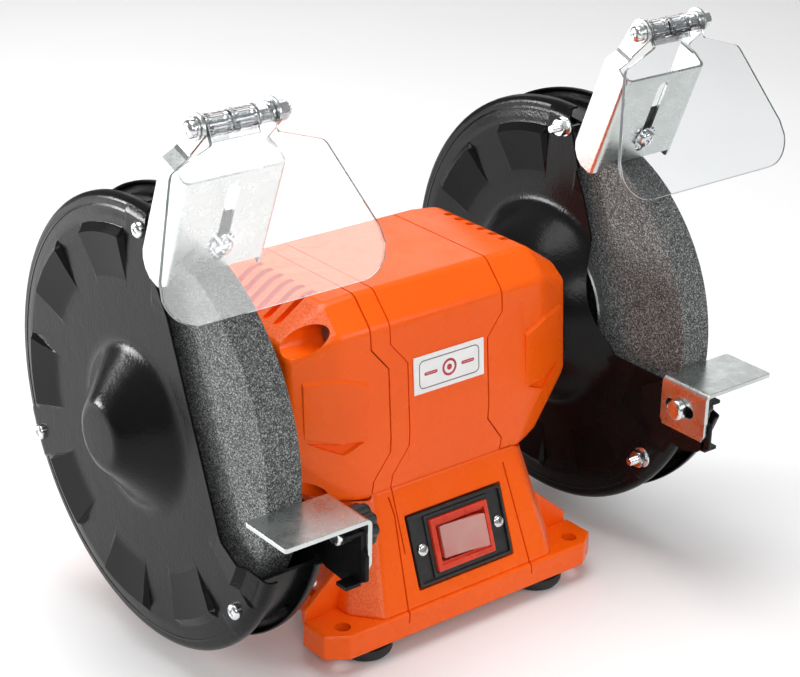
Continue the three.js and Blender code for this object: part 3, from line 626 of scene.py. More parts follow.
def centre_housing():
    """The middle of the shell, the pedestal and the base as one casting."""
    shell = combined(bevelled(housing_hull(), 2.6, 4, 12), belt_zone(), "INTERSECT")
    pedestal = bevelled(pedestal_body(), 3.0, 4, 12)
    for side in (-1, 1):
        bell_space = combined(housing_hull(0.5), bell_zone(side, JOINT_GAP / 2), "INTERSECT")
        pedestal = cut(pedestal, bell_space)
    body = combined(shell, pedestal, "UNION")
    body = combined(body, bevelled(prism("z", base_outline(), 9, 23), 1.3, 3), "UNION")
    for rib in ear_ribs():
        body = combined(body, rib, "UNION")
    body = cut(body, belt_groove())
    body = cut(body, on_panel(bevelled(box(-32, 32, -20, 20, -1.6, 20), 1.0, 2)))
    body = cut(body, on_panel(box(-20, 20, -15, 15, -26, 10)))
    body = cut(body, panel_line((-39, 32), (-37.5, 22)), panel_line((-37.5, 22), (-41.5, -34)))
    body = cut(body, panel_line((36.5, 29), (41.5, -34)))
    body = cut(body, box(-66, 66, -70, 70, 5, 12))
    for x in (-EAR_BOLT_X, EAR_BOLT_X):
        for y in (-EAR_BOLT_Y, EAR_BOLT_Y):
            body = cut(body, z_rod(x, y, 0, 40, EAR_BOLT_RADIUS))
    return cut(body, to_the_back(rod(40, 100, 8.4)))


BOLT_CIRCLE = 57.8
BOLT_ANGLES = (45, 135, 225, 315)


def bolt_centres():
    for degrees in BOLT_ANGLES:
        angle = math.radians(degrees)
        yield BOLT_CIRCLE * math.cos(angle), SHAFT_Z + BOLT_CIRCLE * math.sin(angle)


def bell_face(x, z):
    """How far the bell's front stands from the shaft at |x| and z, between its upper and middle edges."""
    if x <= 66:
        along = (x - 50) / 16
        top, low = 54.5 - 1.5 * along, 57.3 - 1.8 * along
    else:
        along = (x - 66) / 24
        top, low = 53 - 10.3 * along, 55.5 - 10.1 * along
    return top + (low - top) * (151 - z) / 39


def bell_panel(sy):
    """A raised panel on the front or back of a bell, standing out most along its upper edge."""
    points = []
    for x, top, low in ((51.5, 145.5, 117.5), (66, 150.6, 116.0), (84, 150.6, 121.0)):
        for z, rise in ((top, -0.2), (top - 1.6, 1.3), (low, 0.35), (low - 0.8, -0.2), (top, -4), (low, -4)):
            points.append((x, sy * (bell_face(x, z) + rise), z))
    return bevelled(hull(points), 0.35, 2)


def bell_step(sy):
    """A three-cornered pocket below the panel."""
    corners = [(85, 119.2), (52, 114.6), (65, 108.6)]
    middle = (sum(x for x, _ in corners) / 3, sum(z for _, z in corners) / 3)
    points = []
    for x, z in corners:
        points.append((x, sy * (bell_face(x, z) + 2.5), z))
        near = (middle[0] + (x - middle[0]) * 0.8, middle[1] + (z - middle[1]) * 0.7)
        points.append((near[0], sy * (bell_face(*near) - 2.0), near[1]))
    return hull(points)


def end_bell(side):
    """One end of the shell. Only the left one has open pockets for the bolt heads."""
    body = combined(bevelled(housing_hull(), 2.6, 4, 12), bell_zone(side, JOINT_GAP), "INTERSECT")
    for sy in (-1, 1):
        body = combined(body, mirrored(bell_panel(sy), side), "UNION")
    tools = []
    for y, z in bolt_centres():
        if side < 0:
            tools.append(rod(-95, -60, 7, (y, z), 48))
        tools.append(mirrored(rod(0, 60.3, 2.9, (y, z), 20), side))
    for sy in (-1, 1):
        tools.append(mirrored(bell_step(sy), side))
    for i in range(6):
        y = -22.5 + 9 * i
        slot = box(60, 83.5, y - 2, y + 2, 172, 200)
        tools.append(mirrored(bevelled(slot, 1.2, 3), side))
    tools.append(mirrored(rod(60, 95, 13, (0, SHAFT_Z), 48), side))
    return cut(body, *tools)


# ------------------------------------------------------------------ wheels and spindle
def grinding_wheel(side):
    half, edge = WHEEL_HALF, 1.1
    profile = [(-half, 8.4), (half, 8.4), (half, WHEEL_RADIUS - edge)]
    profile += [(half - edge * 0.35, WHEEL_RADIUS - edge * 0.35), (half - edge, WHEEL_RADIUS)]
    profile += [(edge - half, WHEEL_RADIUS), (edge * 0.35 - half, WHEEL_RADIUS - edge * 0.35)]
    profile += [(-half, WHEEL_RADIUS - edge)]
    return shifted(turned(profile, 160, (0, SHAFT_Z)), x=side * WHEEL_X)


def flange(node):
    low, high = node_box(node)
    outer = (high.z - low.z) / 2
    edge = 0.8
    profile = [(low.x, 8.3), (low.x, outer - edge), (low.x + edge, outer), (high.x - edge, outer),
               (high.x, outer - edge), (high.x, 8.3)]
    return turned(profile, 72, (0, SHAFT_Z))


def hex_nut(x0, x1, corner_radius, bore, centre):
    chamfer = (x1 - x0) * 0.16
    blank = turned([(x0, 0), (x0, corner_radius * 0.9), (x0 + chamfer, corner_radius),
                    (x1 - chamfer, corner_radius), (x1, corner_radius * 0.9), (x1, 0)], 48, centre)
    corners = [(centre[0] + corner_radius * math.cos(math.pi * i / 3),
                centre[1] + corner_radius * math.sin(math.pi * i / 3)) for i in range(6)]
    nut = combined(blank, prism("x", corners, x0 - 1, x1 + 1), "INTERSECT")
    return cut(nut, rod(x0 - 1, x1 + 1, bore, centre)) if bore else nut


# ------------------------------------------------------------------ wheel guards
def blend_step(value, low, high):
    t = min(1.0, max(0.0, (value - low) / (high - low)))
    return t * t * (3 - 2 * t)


def angle_gap(one, two):
    return abs((one - two + 180) % 360 - 180)


def pad_height(radius, degrees, pads):
    """How far a pad stands out: it slopes up to its peak and drops again quickly."""
    if not PAD_INNER < radius < PAD_OUTER:
        return 0.0
    if radius < PAD_PEAK:
        rise = (radius - PAD_INNER) / (PAD_PEAK - PAD_INNER)
    else:
        rise = (PAD_OUTER - radius) / (PAD_OUTER - PAD_PEAK)
    away = min(angle_gap(degrees, pad) for pad in pads)
    return PAD_HEIGHT * rise * (1 - blend_step(away, PAD_HALF - 0.9, PAD_HALF))


def rim_fall(radius, degrees):
    """How far the ring outside the pads falls away. It stays flat under the screws, then drops to the lip."""
    at_screw = 1 - blend_step(min(angle_gap(degrees, screw) for screw in SCREW_ANGLES), 6.6, 7.4)
    slope = blend_step(radius, PAD_OUTER - 0.4, 111)
    step = blend_step(radius, 110, 112.2)
    return 1.5 * (slope + (step - slope) * at_screw)


# The plate's rings, from the pads outward. LIP rolls the edge over, and the last three rings form its skirt.
GUARD_RADII = (
    PAD_INNER, 78, 82, 86, 90, 94, PAD_PEAK - 0.5, PAD_PEAK, PAD_PEAK + 0.5, 99, PAD_OUTER - 0.4, PAD_OUTER,
    103, 105, 107, 109, 111, 112.2, 113.3, 114.3, 115.0, RIM_RADIUS, RIM_RADIUS, 114.6,
)
LIP = {112.2: 0.2, 113.3: 0.65, 114.3: 1.5, 115.0: 2.7}
LIP_TURN, LIP_EDGE, LIP_END = 4.3, 5.6, 6.2


def guard_angles(pads):
    """Even steps round the plate, and finer ones at the edges of the pads and of the screws' flats."""
    marks = {float(a) for a in range(0, 360, 3)}
    for pad in pads:
        for offset in (PAD_HALF, PAD_HALF - 0.25, PAD_HALF - 0.65, PAD_HALF - 0.9, PAD_HALF - 1.15):
            marks |= {(pad + offset) % 360, (pad - offset) % 360}
    for screw in SCREW_ANGLES:
        for offset in (6.6, 6.8, 7.2, 7.4):
            marks |= {(screw + offset) % 360, (screw - offset) % 360}
    return sorted(marks)


def guard_sheet(plane_x, dish, pads):
    """One side plate of the right-hand guard as a thin pressed sheet, before the mouth is cut.

    dish gives the outward reach of the centre as (radius, x) pairs. Angles run from the front, up and over.
    """
    outward = 1 if plane_x > WHEEL_X else -1
    angles = guard_angles(pads)
    bm = bmesh.new()
    rows = []
    inner = [(radius, x) for radius, x in dish if radius < PAD_INNER]
    for radius, x in inner:
        rows.append([(radius, x)] * len(angles))
    for index, radius in enumerate(GUARD_RADII):
        last = index >= len(GUARD_RADII) - 2
        row = []
        for degrees in angles:
            fall = rim_fall(radius, degrees) + LIP.get(radius, 0.0)
            if radius == RIM_RADIUS:
                fall += LIP_EDGE if last else LIP_TURN
            if index == len(GUARD_RADII) - 1:
                fall += LIP_END
            row.append((radius, plane_x + outward * (pad_height(radius, degrees, pads) - fall)))
        rows.append(row)
    rings = []
    for row in rows:
        ring = []
        for degrees, (radius, x) in zip(angles, row):
            angle = math.radians(degrees)
            ring.append(bm.verts.new((x, -radius * math.cos(angle), SHAFT_Z + radius * math.sin(angle))))
        rings.append(ring)
    for one, two in zip(rings, rings[1:]):
        bridge(bm, one, two)
    if inner[0][0] < 15:
        bm.faces.new(rings[0])
    bmesh.ops.recalc_face_normals(bm, faces=bm.faces)
    return bm


def inside(point, outline):
    """Whether an (a, b) point is inside a closed outline."""
    hit = False
    for (a0, b0), (a1, b1) in zip(outline, outline[1:] + outline[:1]):
        if (b0 > point[1]) != (b1 > point[1]) and point[0] < (a1 - a0) * (point[1] - b0) / (b1 - b0) + a0:
            hit = not hit
    return hit


def open_mouth(bm, outline):
    """Splits the sheet along the outline and takes away what is inside it. Points are (y, height)."""
    for (y0, h0), (y1, h1) in zip(outline, outline[1:]):
        along = Vector((0, y1 - y0, h1 - h0))
        normal = along.cross(Vector((1, 0, 0))).normalized()
        everything = bm.verts[:] + bm.edges[:] + bm.faces[:]
        start = (0, y0, SHAFT_Z + h0)
        bmesh.ops.bisect_plane(bm, geom=everything, plane_co=start, plane_no=normal, dist=1e-5)
    gone = []
    for face in bm.faces:
        middle = face.calc_center_median()
        if inside((middle.y, middle.z - SHAFT_Z), outline):
            gone.append(face)
    bmesh.ops.delete(bm, geom=gone, context="FACES")
    return bm


def thickened(bm, thickness):
    """Gives a sheet its thickness on the side away from its normals."""
    obj = loose_object("sheet", bm)
    modifier = obj.modifiers.new("thickness", "SOLIDIFY")
    modifier.thickness = thickness
    modifier.offset = -1
    modifier.use_even_offset = True
    return taken(applied(obj), obj)


def facing(bm, direction):
    """Makes an open sheet's normals point along x in the given direction."""
    total = sum(face.normal.x * face.calc_area() for face in bm.faces)
    if total * direction < 0:
        bmesh.ops.reverse_faces(bm, faces=bm.faces)
    return bm


# (radius, x) down the domed centre of the outer plate and up out of the sunk centre of the inner plate.
OUTER_DISH = [
    (0.01, 171.0), (13, 171.0), (15, 170.8), (17, 170.1), (19, 168.7), (21, 166.9), (26, 162.7), (32, 157.9),
    (36, 154.8), (38.5, 152.9), (40.5, 151.5), (42.5, 150.6), (45, 150.1), (48, 150.0), (60, 150.0),
    (70, 150.0),
]
INNER_DISH = [
    (14, 90.5), (36, 90.5), (38.5, 91.2), (41, 93.2), (45, 97.6), (50, 104.2), (53.5, 109.4), (56, 112.4),
    (58.5, 114.2), (62, 114.7), (70, 114.7),
]
OUTER_MOUTH = [(-11, 118), (-29.8, 71), (-70.5, -28), (-74, -31), (-104, -38), (-135, -41), (-135, 118)]
INNER_MOUTH = [(-10, 118), (-24.6, 74), (-58.2, -12.6), (-97, -12.6), (-97, -34), (-130, -40), (-130, 118)]


def guard_outer():
    pads = [PAD_FIRST + PAD_PITCH * i for i in range(-1, 7)]
    sheet = facing(guard_sheet(GUARD_OUTER_X, OUTER_DISH, pads), 1)
    return thickened(open_mouth(sheet, OUTER_MOUTH), GUARD_SHEET)


def guard_inner():
    pads = [PAD_FIRST + PAD_PITCH * i for i in range(-1, 5)]
    sheet = facing(guard_sheet(GUARD_INNER_X, INNER_DISH, pads), -1)
    return thickened(open_mouth(sheet, INNER_MOUTH), GUARD_SHEET)


def arc_strip(radius, start, end, half_width, thickness, step=2.0, lip=0.0):
    """A curved strip round the shaft. Angles run from straight up, over the back, down to the front."""
    count = max(2, round((end - start) / step))
    across = [-half_width, -half_width + 1.6, half_width - 1.6, half_width]
    rises = [lip, 0.0, 0.0, lip]
    bm = bmesh.new()
    rings = []
    for i in range(count + 1):
        angle = math.radians(start + (end - start) * i / count)
        out = Vector((0, math.sin(angle), math.cos(angle)))
        rings.append([bm.verts.new(Vector((x, 0, SHAFT_Z)) + (radius + rise) * out)
                      for x, rise in zip(across, rises)])
    for one, two in zip(rings, rings[1:]):
        for i in range(len(across) - 1):
            bm.faces.new((one[i], one[i + 1], two[i + 1], two[i]))
    for face in bm.faces:
        face.normal_update()
        middle = face.calc_center_median()
        if face.normal.dot(Vector((0, middle.y, middle.z - SHAFT_Z))) < 0:
            face.normal_flip()
    return thickened(bm, thickness)


BRACKET_AXES = Matrix((
    (1, 0, 0, 0),
    (0, math.sin(BRACKET_LEAN), math.cos(BRACKET_LEAN), BRACKET_TOP.y),
    (0, -math.cos(BRACKET_LEAN), math.sin(BRACKET_LEAN), BRACKET_TOP.z),
    (0, 0, 0, 1),
))


def in_bracket(bm):
    """From bracket axes (x across, w down the plate, d back through it) to the machine's."""
    return moved(bm, BRACKET_AXES)


def guard_band():
    """The strip round the rim with its pressed ribs, and the tongue and tab that hold the bracket."""
    strip = arc_strip(109.4, -4, 249, 16.1, 1.6, lip=0.6)
    tongue = arc_strip(109.4, -24.4, -3, 13, 1.6)
    tab = in_bracket(bevelled(box(-13, 13, 23, 48.6, 1.8, 3.6), 0.5, 2))
    ribs = [arc_strip(110.1, start, end, 2.2, 1.4) for start, end in ((4, 34), (60, 96), (120, 160))]
    return joined(strip, tongue, tab, *ribs)


def cross_recess(x0, x1, size):
    """The driver recess of a cross-head screw, as two tapering blades along x."""
    narrow = size * 0.45
    blades = []
    for turn in (0, math.pi / 2):
        thin = size * 0.13
        blade = hull([(x1, sy * size, sz * thin) for sy in (-1, 1) for sz in (-1, 1)]
                     + [(x0, sy * narrow, sz * thin * 0.7) for sy in (-1, 1) for sz in (-1, 1)])
        blades.append(moved(blade, Matrix.Rotation(turn + 0.4, 4, "X")))
    return blades


def pan_head(radius, height):
    """A cross-head pan screw's head, sitting on x = 0 and rising along +x."""
    profile = [(0, 0), (0, radius)]
    for i in range(7):
        angle = math.pi / 2 * i / 6
        profile.append((height * (0.35 + 0.65 * math.sin(angle)), radius * (0.35 + 0.65 * math.cos(angle))))
    profile.append((height, 0))
    head = turned(profile, 32)
    return cut(head, *cross_recess(height * 0.3, height + 0.5, radius * 0.62))


def washer(x0, x1, inner, outer, centre=(0, 0)):
    edge = min(0.3, (x1 - x0) * 0.3)
    rim = [(x0, outer - edge), (x0 + edge, outer), (x1 - edge, outer), (x1, outer - edge)]
    return turned([(x0, inner), *rim, (x1, inner)], 40, centre)


def threaded_end(x0, x1, radius, centre=(0, 0), pitch=0.9):
    """A screw's end with rings for its thread, pointing along +x."""
    profile = [(x0, 0), (x0, radius)]
    x = x0
    while x + pitch < x1:
        profile += [(x + pitch * 0.5, radius * 0.86), (x + pitch, radius)]
        x += pitch
    profile += [(x1, radius * 0.75), (x1, 0)]
    return turned(profile, 24, centre)


def facing_in(bm, x, y, z):
    """Turns a piece drawn along +x to point along -x, from a place."""
    return moved(bm, Matrix.Translation((x, y, z)) @ Matrix.Rotation(math.pi, 4, "Z"))


def guard_screws():
    """Three long screws through the guard, with their nuts on the motor side."""
    parts = []
    for degrees in SCREW_ANGLES:
        angle = math.radians(degrees)
        y, z = -SCREW_CIRCLE * math.cos(angle), SHAFT_Z + SCREW_CIRCLE * math.sin(angle)
        parts.append(shifted(pan_head(4.1, 2.9), GUARD_OUTER_X + 0.02, y, z))
        parts.append(rod(GUARD_INNER_X - 1, GUARD_OUTER_X + 1, 2.4, (y, z), 24))
        parts.append(washer(GUARD_INNER_X - 1.0, GUARD_INNER_X - 0.02, 2.4, 5.6, (y, z)))
        parts.append(hex_nut(GUARD_INNER_X - 5.2, GUARD_INNER_X - 1.1, 4.9, 0, (y, z)))
        parts.append(facing_in(threaded_end(0, 5.4, 2.4), GUARD_INNER_X - 5, y, z))
    return joined(*parts)


# ------------------------------------------------------------------ shield brackets
HINGE_LOCAL = BRACKET_AXES.inverted() @ HINGE


def bend_section(half, depth, sheet, radius):
    """The bracket's channel section in (x, d): a flat plate with a flange turned back at each side."""
    outer, inner = [], []
    for i in range(6):
        angle = math.pi / 2 * i / 5
        outer.append((half - radius + radius * math.sin(angle), radius - radius * math.cos(angle)))
        tight = radius - sheet
        inner.append((half - radius + tight * math.sin(angle), radius - tight * math.cos(angle)))
    right = outer + [(half, depth), (half - sheet, depth)] + list(reversed(inner))
    left = [(-x, d) for x, d in reversed(right)]
    return right + left


def bracket_channel():
    """The bracket's slotted plate and side flanges, in bracket axes."""
    outline = bend_section(27.5, 19, 1.5, 3.2)
    channel = prism("y", outline, -3, 60)
    side_view = [(-2.5, 9), (-2.5, 19), (50, 19), (54, 17.5), (57.5, 14.2), (59.5, 10), (59.5, 3), (57.5, 0)]
    flanges = prism("x", side_view + [(0, 0), (-0.8, 4)], -30, 30)
    channel = combined(channel, flanges, "INTERSECT")
    channel = cut(channel, box(-24.2, 24.2, 54, 70, -2, 5), box(-24.2, 24.2, -10, 0, -2, 5))
    slot_half, slot_top, slot_end = 3.2, 8.2, 45.8
    ends = [z_rod(0, w, -2, 4, slot_half) for w in (slot_top, slot_end)]
    return cut(channel, box(-slot_half, slot_half, slot_top, slot_end, -2, 4), *ends)


def bracket_ear(side):
    """One flange run on above the plate, stepped inwards and rounded about the hinge."""
    out, inn, sheet = 27.5, 20.5, 1.5
    steps = [(-1.5, 0.0), (-2.6, 0.08), (-4.2, 0.38), (-6.4, 0.8), (-8.0, 0.98), (-9.5, 1.0)]
    joggle = []
    for w, t in steps:
        x = out + (inn - out) * t
        joggle.append([(x, w), (x - sheet, w)])
    parts = []
    for (a, b), (c, d) in zip(joggle, joggle[1:]):
        parts.append(hull([(side * x, w, depth) for x, w in (a, b, c, d) for depth in (9, 19)]))
    top, middle = HINGE_LOCAL.y, HINGE_LOCAL.z
    turns = [math.pi * i / 12 for i in range(13)]
    crown = [(top - 7 * math.sin(turn), middle + 7 * math.cos(turn)) for turn in turns]
    outline = crown + [(-9, 9), (-9, 19)]
    low, high = sorted((side * inn, side * (inn - sheet)))
    parts.append(bevelled(prism("x", outline, low, high), 0.25, 2, 60))
    return joined(*parts)


def shield_bracket():
    body = joined(bracket_channel(), bracket_ear(-1), bracket_ear(1))
    bmesh.ops.recalc_face_normals(body, faces=body.faces)
    return in_bracket(body)


def clamp_screw():
    """The screw that holds the bracket through its slot, with a toothed washer and a nut."""
    head = shifted(pan_head(4.7, 3.4), 1.0)
    star = washer(0.1, 1.1, 2.4, 6.0)
    teeth = []
    for i in range(14):
        angle = 2 * math.pi * i / 14
        tooth = box(0.1, 1.3, 5.8, 6.8, -0.55, 0.55)
        teeth.append(moved(tooth, Matrix.Rotation(angle, 4, "X")))
    stem = rod(-7, 1, 2.4, segments=24)
    nut = hex_nut(-7.3, -3.9, 4.6, 0, (0, 0))
    whole = joined(head, star, stem, nut, *teeth)
    to_plate = Matrix(((0, 1, 0, 0), (0, 0, 1, CLAMP_W), (-1, 0, 0, -0.15), (0, 0, 0, 1)))
    return in_bracket(moved(whole, to_plate))


def spring(x0, x1, radius, wire, turns, centre):
    """A coil about the hinge, as a tube along a helix."""
    steps, sides = turns * 16, 8
    bm = bmesh.new()
    rings = []
    for i in range(steps + 1):
        t = i / steps
        a = 2 * math.pi * turns * t
        out = Vector((0, math.cos(a), math.sin(a)))
        middle = Vector((x0 + (x1 - x0) * t, *centre)) + radius * out
        ring = []
        for k in range(sides):
            b = 2 * math.pi * k / sides
            ring.append(bm.verts.new(middle + wire * (math.cos(b) * out + math.sin(b) * Vector((1, 0, 0)))))
        rings.append(ring)
    for one, two in zip(rings, rings[1:]):
        bridge(bm, one, two)
    bm.faces.new(rings[0])
    bm.faces.new(rings[-1])
    bmesh.ops.recalc_face_normals(bm, faces=bm.faces)
    return bm


def hinge_bolt():
    """The bolt that the shield swings on, with its washers and a spring to hold it at any angle."""
    centre = (HINGE.y, HINGE.z)
    head = facing_in(pan_head(4.2, 3.2), -21.9, *centre)
    parts = [head, rod(-22, 24, 2.4, centre, 24), shifted(threaded_end(24, 29, 2.4), 0, *centre)]
    for x0, x1, outer in ((-21.8, -20.6, 5.4), (9.4, 10.4, 5.6), (16.6, 17.6, 5.6), (17.7, 18.8, 4.9)):
        parts.append(washer(x0, x1, 2.5, outer, centre))
    parts.append(spring(10.9, 16.2, 4.0, 0.55, 4, centre))
    return joined(*parts)


# ------------------------------------------------------------------ spark shields
SHIELD_LEAN = math.radians(24.2)


def shield_outline():
    """(x, v) pairs with v down the sheet; half of it, then mirrored."""
    corner, low, side_x = 17.0, 82.0, 59.4
    points = [(17.5, 0), (17.5, 8.5), (18.2, 9.3), (37.6, 15.9), (39.8, 17.0), (41.2, 18.9), (58.0, 60.0)]
    for i in range(1, 10):
        angle = math.pi / 2 * i / 9 * 0.97
        x = side_x - corner + corner * math.cos(angle) - 0.35 * (9 - i) / 9
        points.append((x, low - corner + corner * math.sin(angle)))
    points.append((side_x - corner - 1, low))
    return points


def lean(bm):
    """Swings a shield drawn hanging straight down to its resting angle about the hinge."""
    return moved(bm, Matrix.Translation(HINGE) @ Matrix.Rotation(-SHIELD_LEAN, 4, "X"))


def shield():
    right = shield_outline()
    outline = [(x, -v) for x, v in right] + [(-x, -v) for x, v in reversed(right)]
    sheet = prism("y", outline, -5.2, -3.0)
    return lean(bevelled(sheet, 0.35, 2, 40))


def shield_barrel():
    """The two moulded tubes round the hinge bolt, and the strip that joins them to the shield."""
    parts = []
    for x0, x1 in ((-17.8, -4.9), (-4.3, 9.0)):
        tube = [(x0, 2.7), (x0, 4.8), (x0 + 0.5, 5.3), (x1 - 0.5, 5.3), (x1, 4.8), (x1, 2.7)]
        parts.append(turned(tube, 40))
        parts.append(turned([(x0 + 1.6, 5.3), (x0 + 1.6, 5.7), (x0 + 3.4, 5.7), (x0 + 3.4, 5.3)], 40))
    parts.append(bevelled(box(-17.4, 8.6, -5.2, -2.6, -8, -2.5), 0.5, 2))
    return lean(joined(*parts))


# ------------------------------------------------------------------ tool rests
def tool_rest(side):
    """A plate bent down along its inner side into a flange, which a slot and a bolt clamp to the arm."""
    inner, outer, sheet, top, bend = 107.5, 155.6, 2.4, 123.0, 3.4
    section = [(outer, top), (inner + bend, top)]
    for i in range(1, 6):
        angle = math.pi / 2 * i / 5
        section.append((inner + bend - bend * math.sin(angle), top - bend + bend * math.cos(angle)))
    section += [(inner, 96), (inner + sheet, 96)]
    tight = bend - sheet
    for i in range(6):
        angle = math.pi / 2 * (1 - i / 5)
        section.append((inner + bend - tight * math.sin(angle), top - bend + tight * math.cos(angle)))
    section += [(outer, top - sheet)]
    body = prism("y", section, -132.8, -101.3)
    for y, sign in ((-132.8, 1), (-101.3, -1)):
        corner = hull([(x, y + a, z) for x in (100, 112) for a, z in
                       ((-0.1 * sign, 90), (-0.1 * sign, 99.5), (3.5 * sign, 90), (1.2 * sign, 97.2))])
        body = cut(body, corner)
        tip = [(158, y - sign), (158, y + 2.4 * sign), (outer - 2.4, y - sign)]
        body = cut(body, hull([(x, end, z) for x, end in tip for z in (110, 130)]))
    clamp_y, clamp_z = REST_CLAMP
    slot_ends, slot_half = (clamp_y - 6.7, clamp_y + 6.7), 3.3
    holes = [rod(100, 115, slot_half, (y, clamp_z)) for y in slot_ends]
    body = cut(body, box(100, 115, *slot_ends, clamp_z - slot_half, clamp_z + slot_half), *holes)
    return mirrored(bevelled(body, 0.3, 2, 40), side)


def lobed_knob(start):
    """A knob with rounded lobes and a sunk middle, from start along +x."""
    thickness, lobes, radius = 11.0, 8, 10.6
    clamp_y, clamp_z = REST_CLAMP
    steps = lobes * 12
    bm = bmesh.new()
    levels = [(0.0, 0.90), (0.5, 0.965), (1.3, 1.0), (thickness - 2.2, 1.0), (thickness - 0.9, 0.955),
              (thickness, 0.86), (thickness, 0.55), (thickness - 2.2, 0.47), (thickness - 2.2, 0.02)]
    rings = []
    for x, scale in levels:
        ring = []
        for i in range(steps):
            angle = 2 * math.pi * i / steps
            wave = (0.5 + 0.5 * math.cos(lobes * angle)) ** 0.55
            depth = 1.9 if scale > 0.8 else 0.0
            r = (radius - depth + depth * wave) * scale
            y, z = clamp_y + r * math.cos(angle), clamp_z + r * math.sin(angle)
            ring.append(bm.verts.new((start + x, y, z)))
        rings.append(ring)
    for one, two in zip(rings, rings[1:]):
        bridge(bm, one, two)
    bm.faces.new(rings[0])
    bm.faces.new(rings[-1])
    bmesh.ops.recalc_face_normals(bm, faces=bm.faces)
    return bm


def rest_bolt(side):
    low, high = node_box(f"rest_bolt_{side}")
    profile = [(low.x, 0), (low.x, 3.6)]
    for i in range(5):
        angle = math.pi / 2 * i / 4
        profile.append((low.x + 1.6 * (1 - math.cos(angle)) + 0.1, 3.8 + 1.8 * math.sin(angle)))
    seat = low.x + (3.8 if side == "left" else 4.3)
    profile += [(seat, 5.6), (seat, 2.9), (high.x - 0.6, 2.9), (high.x, 2.3), (high.x, 0)]
    return turned(profile, 40, REST_CLAMP)


# ------------------------------------------------------------------ switch
def bezel():
    plate = bevelled(box(-31, 31, -19, 19, -1.2, 3.2), 1.1, 3)
    plate = cut(plate, box(-29.2, 29.2, -17.2, 17.2, 1.9, 10))
    lip = bevelled(box(-21.4, 21.4, -16.4, 16.4, 1.0, 3.1), 0.5, 2)
    lip = cut(lip, box(-19.3, 19.3, -14.3, 14.3, -3, 10))
    plate = cut(plate, box(-19.3, 19.3, -14.3, 14.3, -5, 10))
    return on_panel(joined(plate, lip))


def switch_body():
    block = bevelled(box(-19, 19, -14, 14, -24, 5), 0.7, 3)
    block = cut(block, box(-16.3, 16.3, -9.6, 9.6, -10.3, 10))
    return on_panel(cut(block, box(-16.3, 16.3, -11.0, 11.0, 3.6, 10)))


ROCKER_HALF_U, ROCKER_HALF_V = 12.6, 8.6


def rocker_curve(lift):
    """The rocker's face in (u, n), with its left end pressed, raised by lift."""
    steps = [i / 12 for i in range(13)]
    return [(ROCKER_HALF_U * (2 * t - 1), 1.5 + lift + 6.3 * t ** 1.9) for t in steps]


def rocker():
    bottom = [(ROCKER_HALF_U, 3.4), (5, -7.5), (-5, -7.5), (-ROCKER_HALF_U, -2.6)]
    body = prism("y", rocker_curve(-0.15) + bottom, -ROCKER_HALF_V, ROCKER_HALF_V)
    return on_panel(bevelled(body, 0.6, 3, 25))


def rocker_cover():
    low = list(reversed(rocker_curve(0.45)))
    cover = prism("y", rocker_curve(1.7) + low, -ROCKER_HALF_V, ROCKER_HALF_V)
    return on_panel(bevelled(cover, 0.3, 2, 40))


def bezel_screws():
    parts = []
    for u in (-25.3, 25.3):
        head = moved(pan_head(3.4, 2.1), Matrix.Rotation(-math.pi / 2, 4, "Y"))
        parts.append(on_panel(shifted(head, u, 0, 2.0)))
    return parts


# ------------------------------------------------------------------ label, feet and gland
def shell_front(z):
    """The y of the shell's leaning front, where the label is."""
    return -(54.5 + (151 - z) * (57.3 - 54.5) / (151 - 112))


def label_sheet(half_x, z0, z1, out0, out1):
    ends = [(shell_front(z) - out, z) for z in (z0, z1) for out in (out0, out1)]
    return hull([(x, y, z) for x in (-half_x, half_x) for y, z in ends])


def rounded_ring(half_x, half_z, corner, width):
    """Two nested rounded outlines as (x, z) loops about the label's middle."""
    loops = []
    for inset in (0.0, width):
        loop = []
        for quarter, (sx, sz) in enumerate(((1, 1), (-1, 1), (-1, -1), (1, -1))):
            for i in range(7):
                angle = math.pi / 2 * (quarter + i / 6)
                r = corner - inset
                x = sx * (half_x - corner) + r * math.cos(angle)
                loop.append((x, sz * (half_z - corner) + r * math.sin(angle)))
        loops.append(loop)
    return loops


LABEL_MIDDLE = 140.5


def label_mark(loops, out0, out1):
    """A flat printed ring standing a hair proud of the label."""
    bm = bmesh.new()
    rows = []
    for loop in loops:
        raised = [(x, LABEL_MIDDLE + z) for x, z in loop]
        for out in (out0, out1):
            rows.append([bm.verts.new((x, shell_front(z) - out, z)) for x, z in raised])
    for one, two in ((0, 1), (1, 3), (3, 2), (2, 0)):
        bridge(bm, rows[one], rows[two])
    bmesh.ops.recalc_face_normals(bm, faces=bm.faces)
    return bm


def circle_loops(radius, width):
    """Two circles about the label's middle as (x, z) loops."""
    turns = [2 * math.pi * i / 40 for i in range(40)]
    return [[(r * math.cos(turn), r * math.sin(turn)) for turn in turns] for r in (radius, radius - width)]


def foot():
    profile = [(0, 0), (0, 11.2), (0.5, 12.6), (1.6, 13.6), (3.2, 14.3), (5.4, 14.5), (6.6, 13.9),
               (7.2, 12.4), (8.7, 12.0), (8.7, 0)]
    return moved(turned(profile, 56), Matrix.Rotation(-math.pi / 2, 4, "Y"))


def cable_gland():
    profile = [(58, 3.6), (58, 8), (73, 8), (73, 11.2), (73.6, 11.5), (75.9, 11.5), (76.5, 11.0), (76.5, 7.2)]
    x = 76.5
    while x < 84:
        profile += [(x + 0.9, 7.0), (x + 1.2, 6.2), (x + 1.8, 6.2), (x + 2.1, 6.9)]
        x += 2.4
    profile += [(86, 6.3), (86, 3.6)]
    return to_the_back(turned(profile, 48))


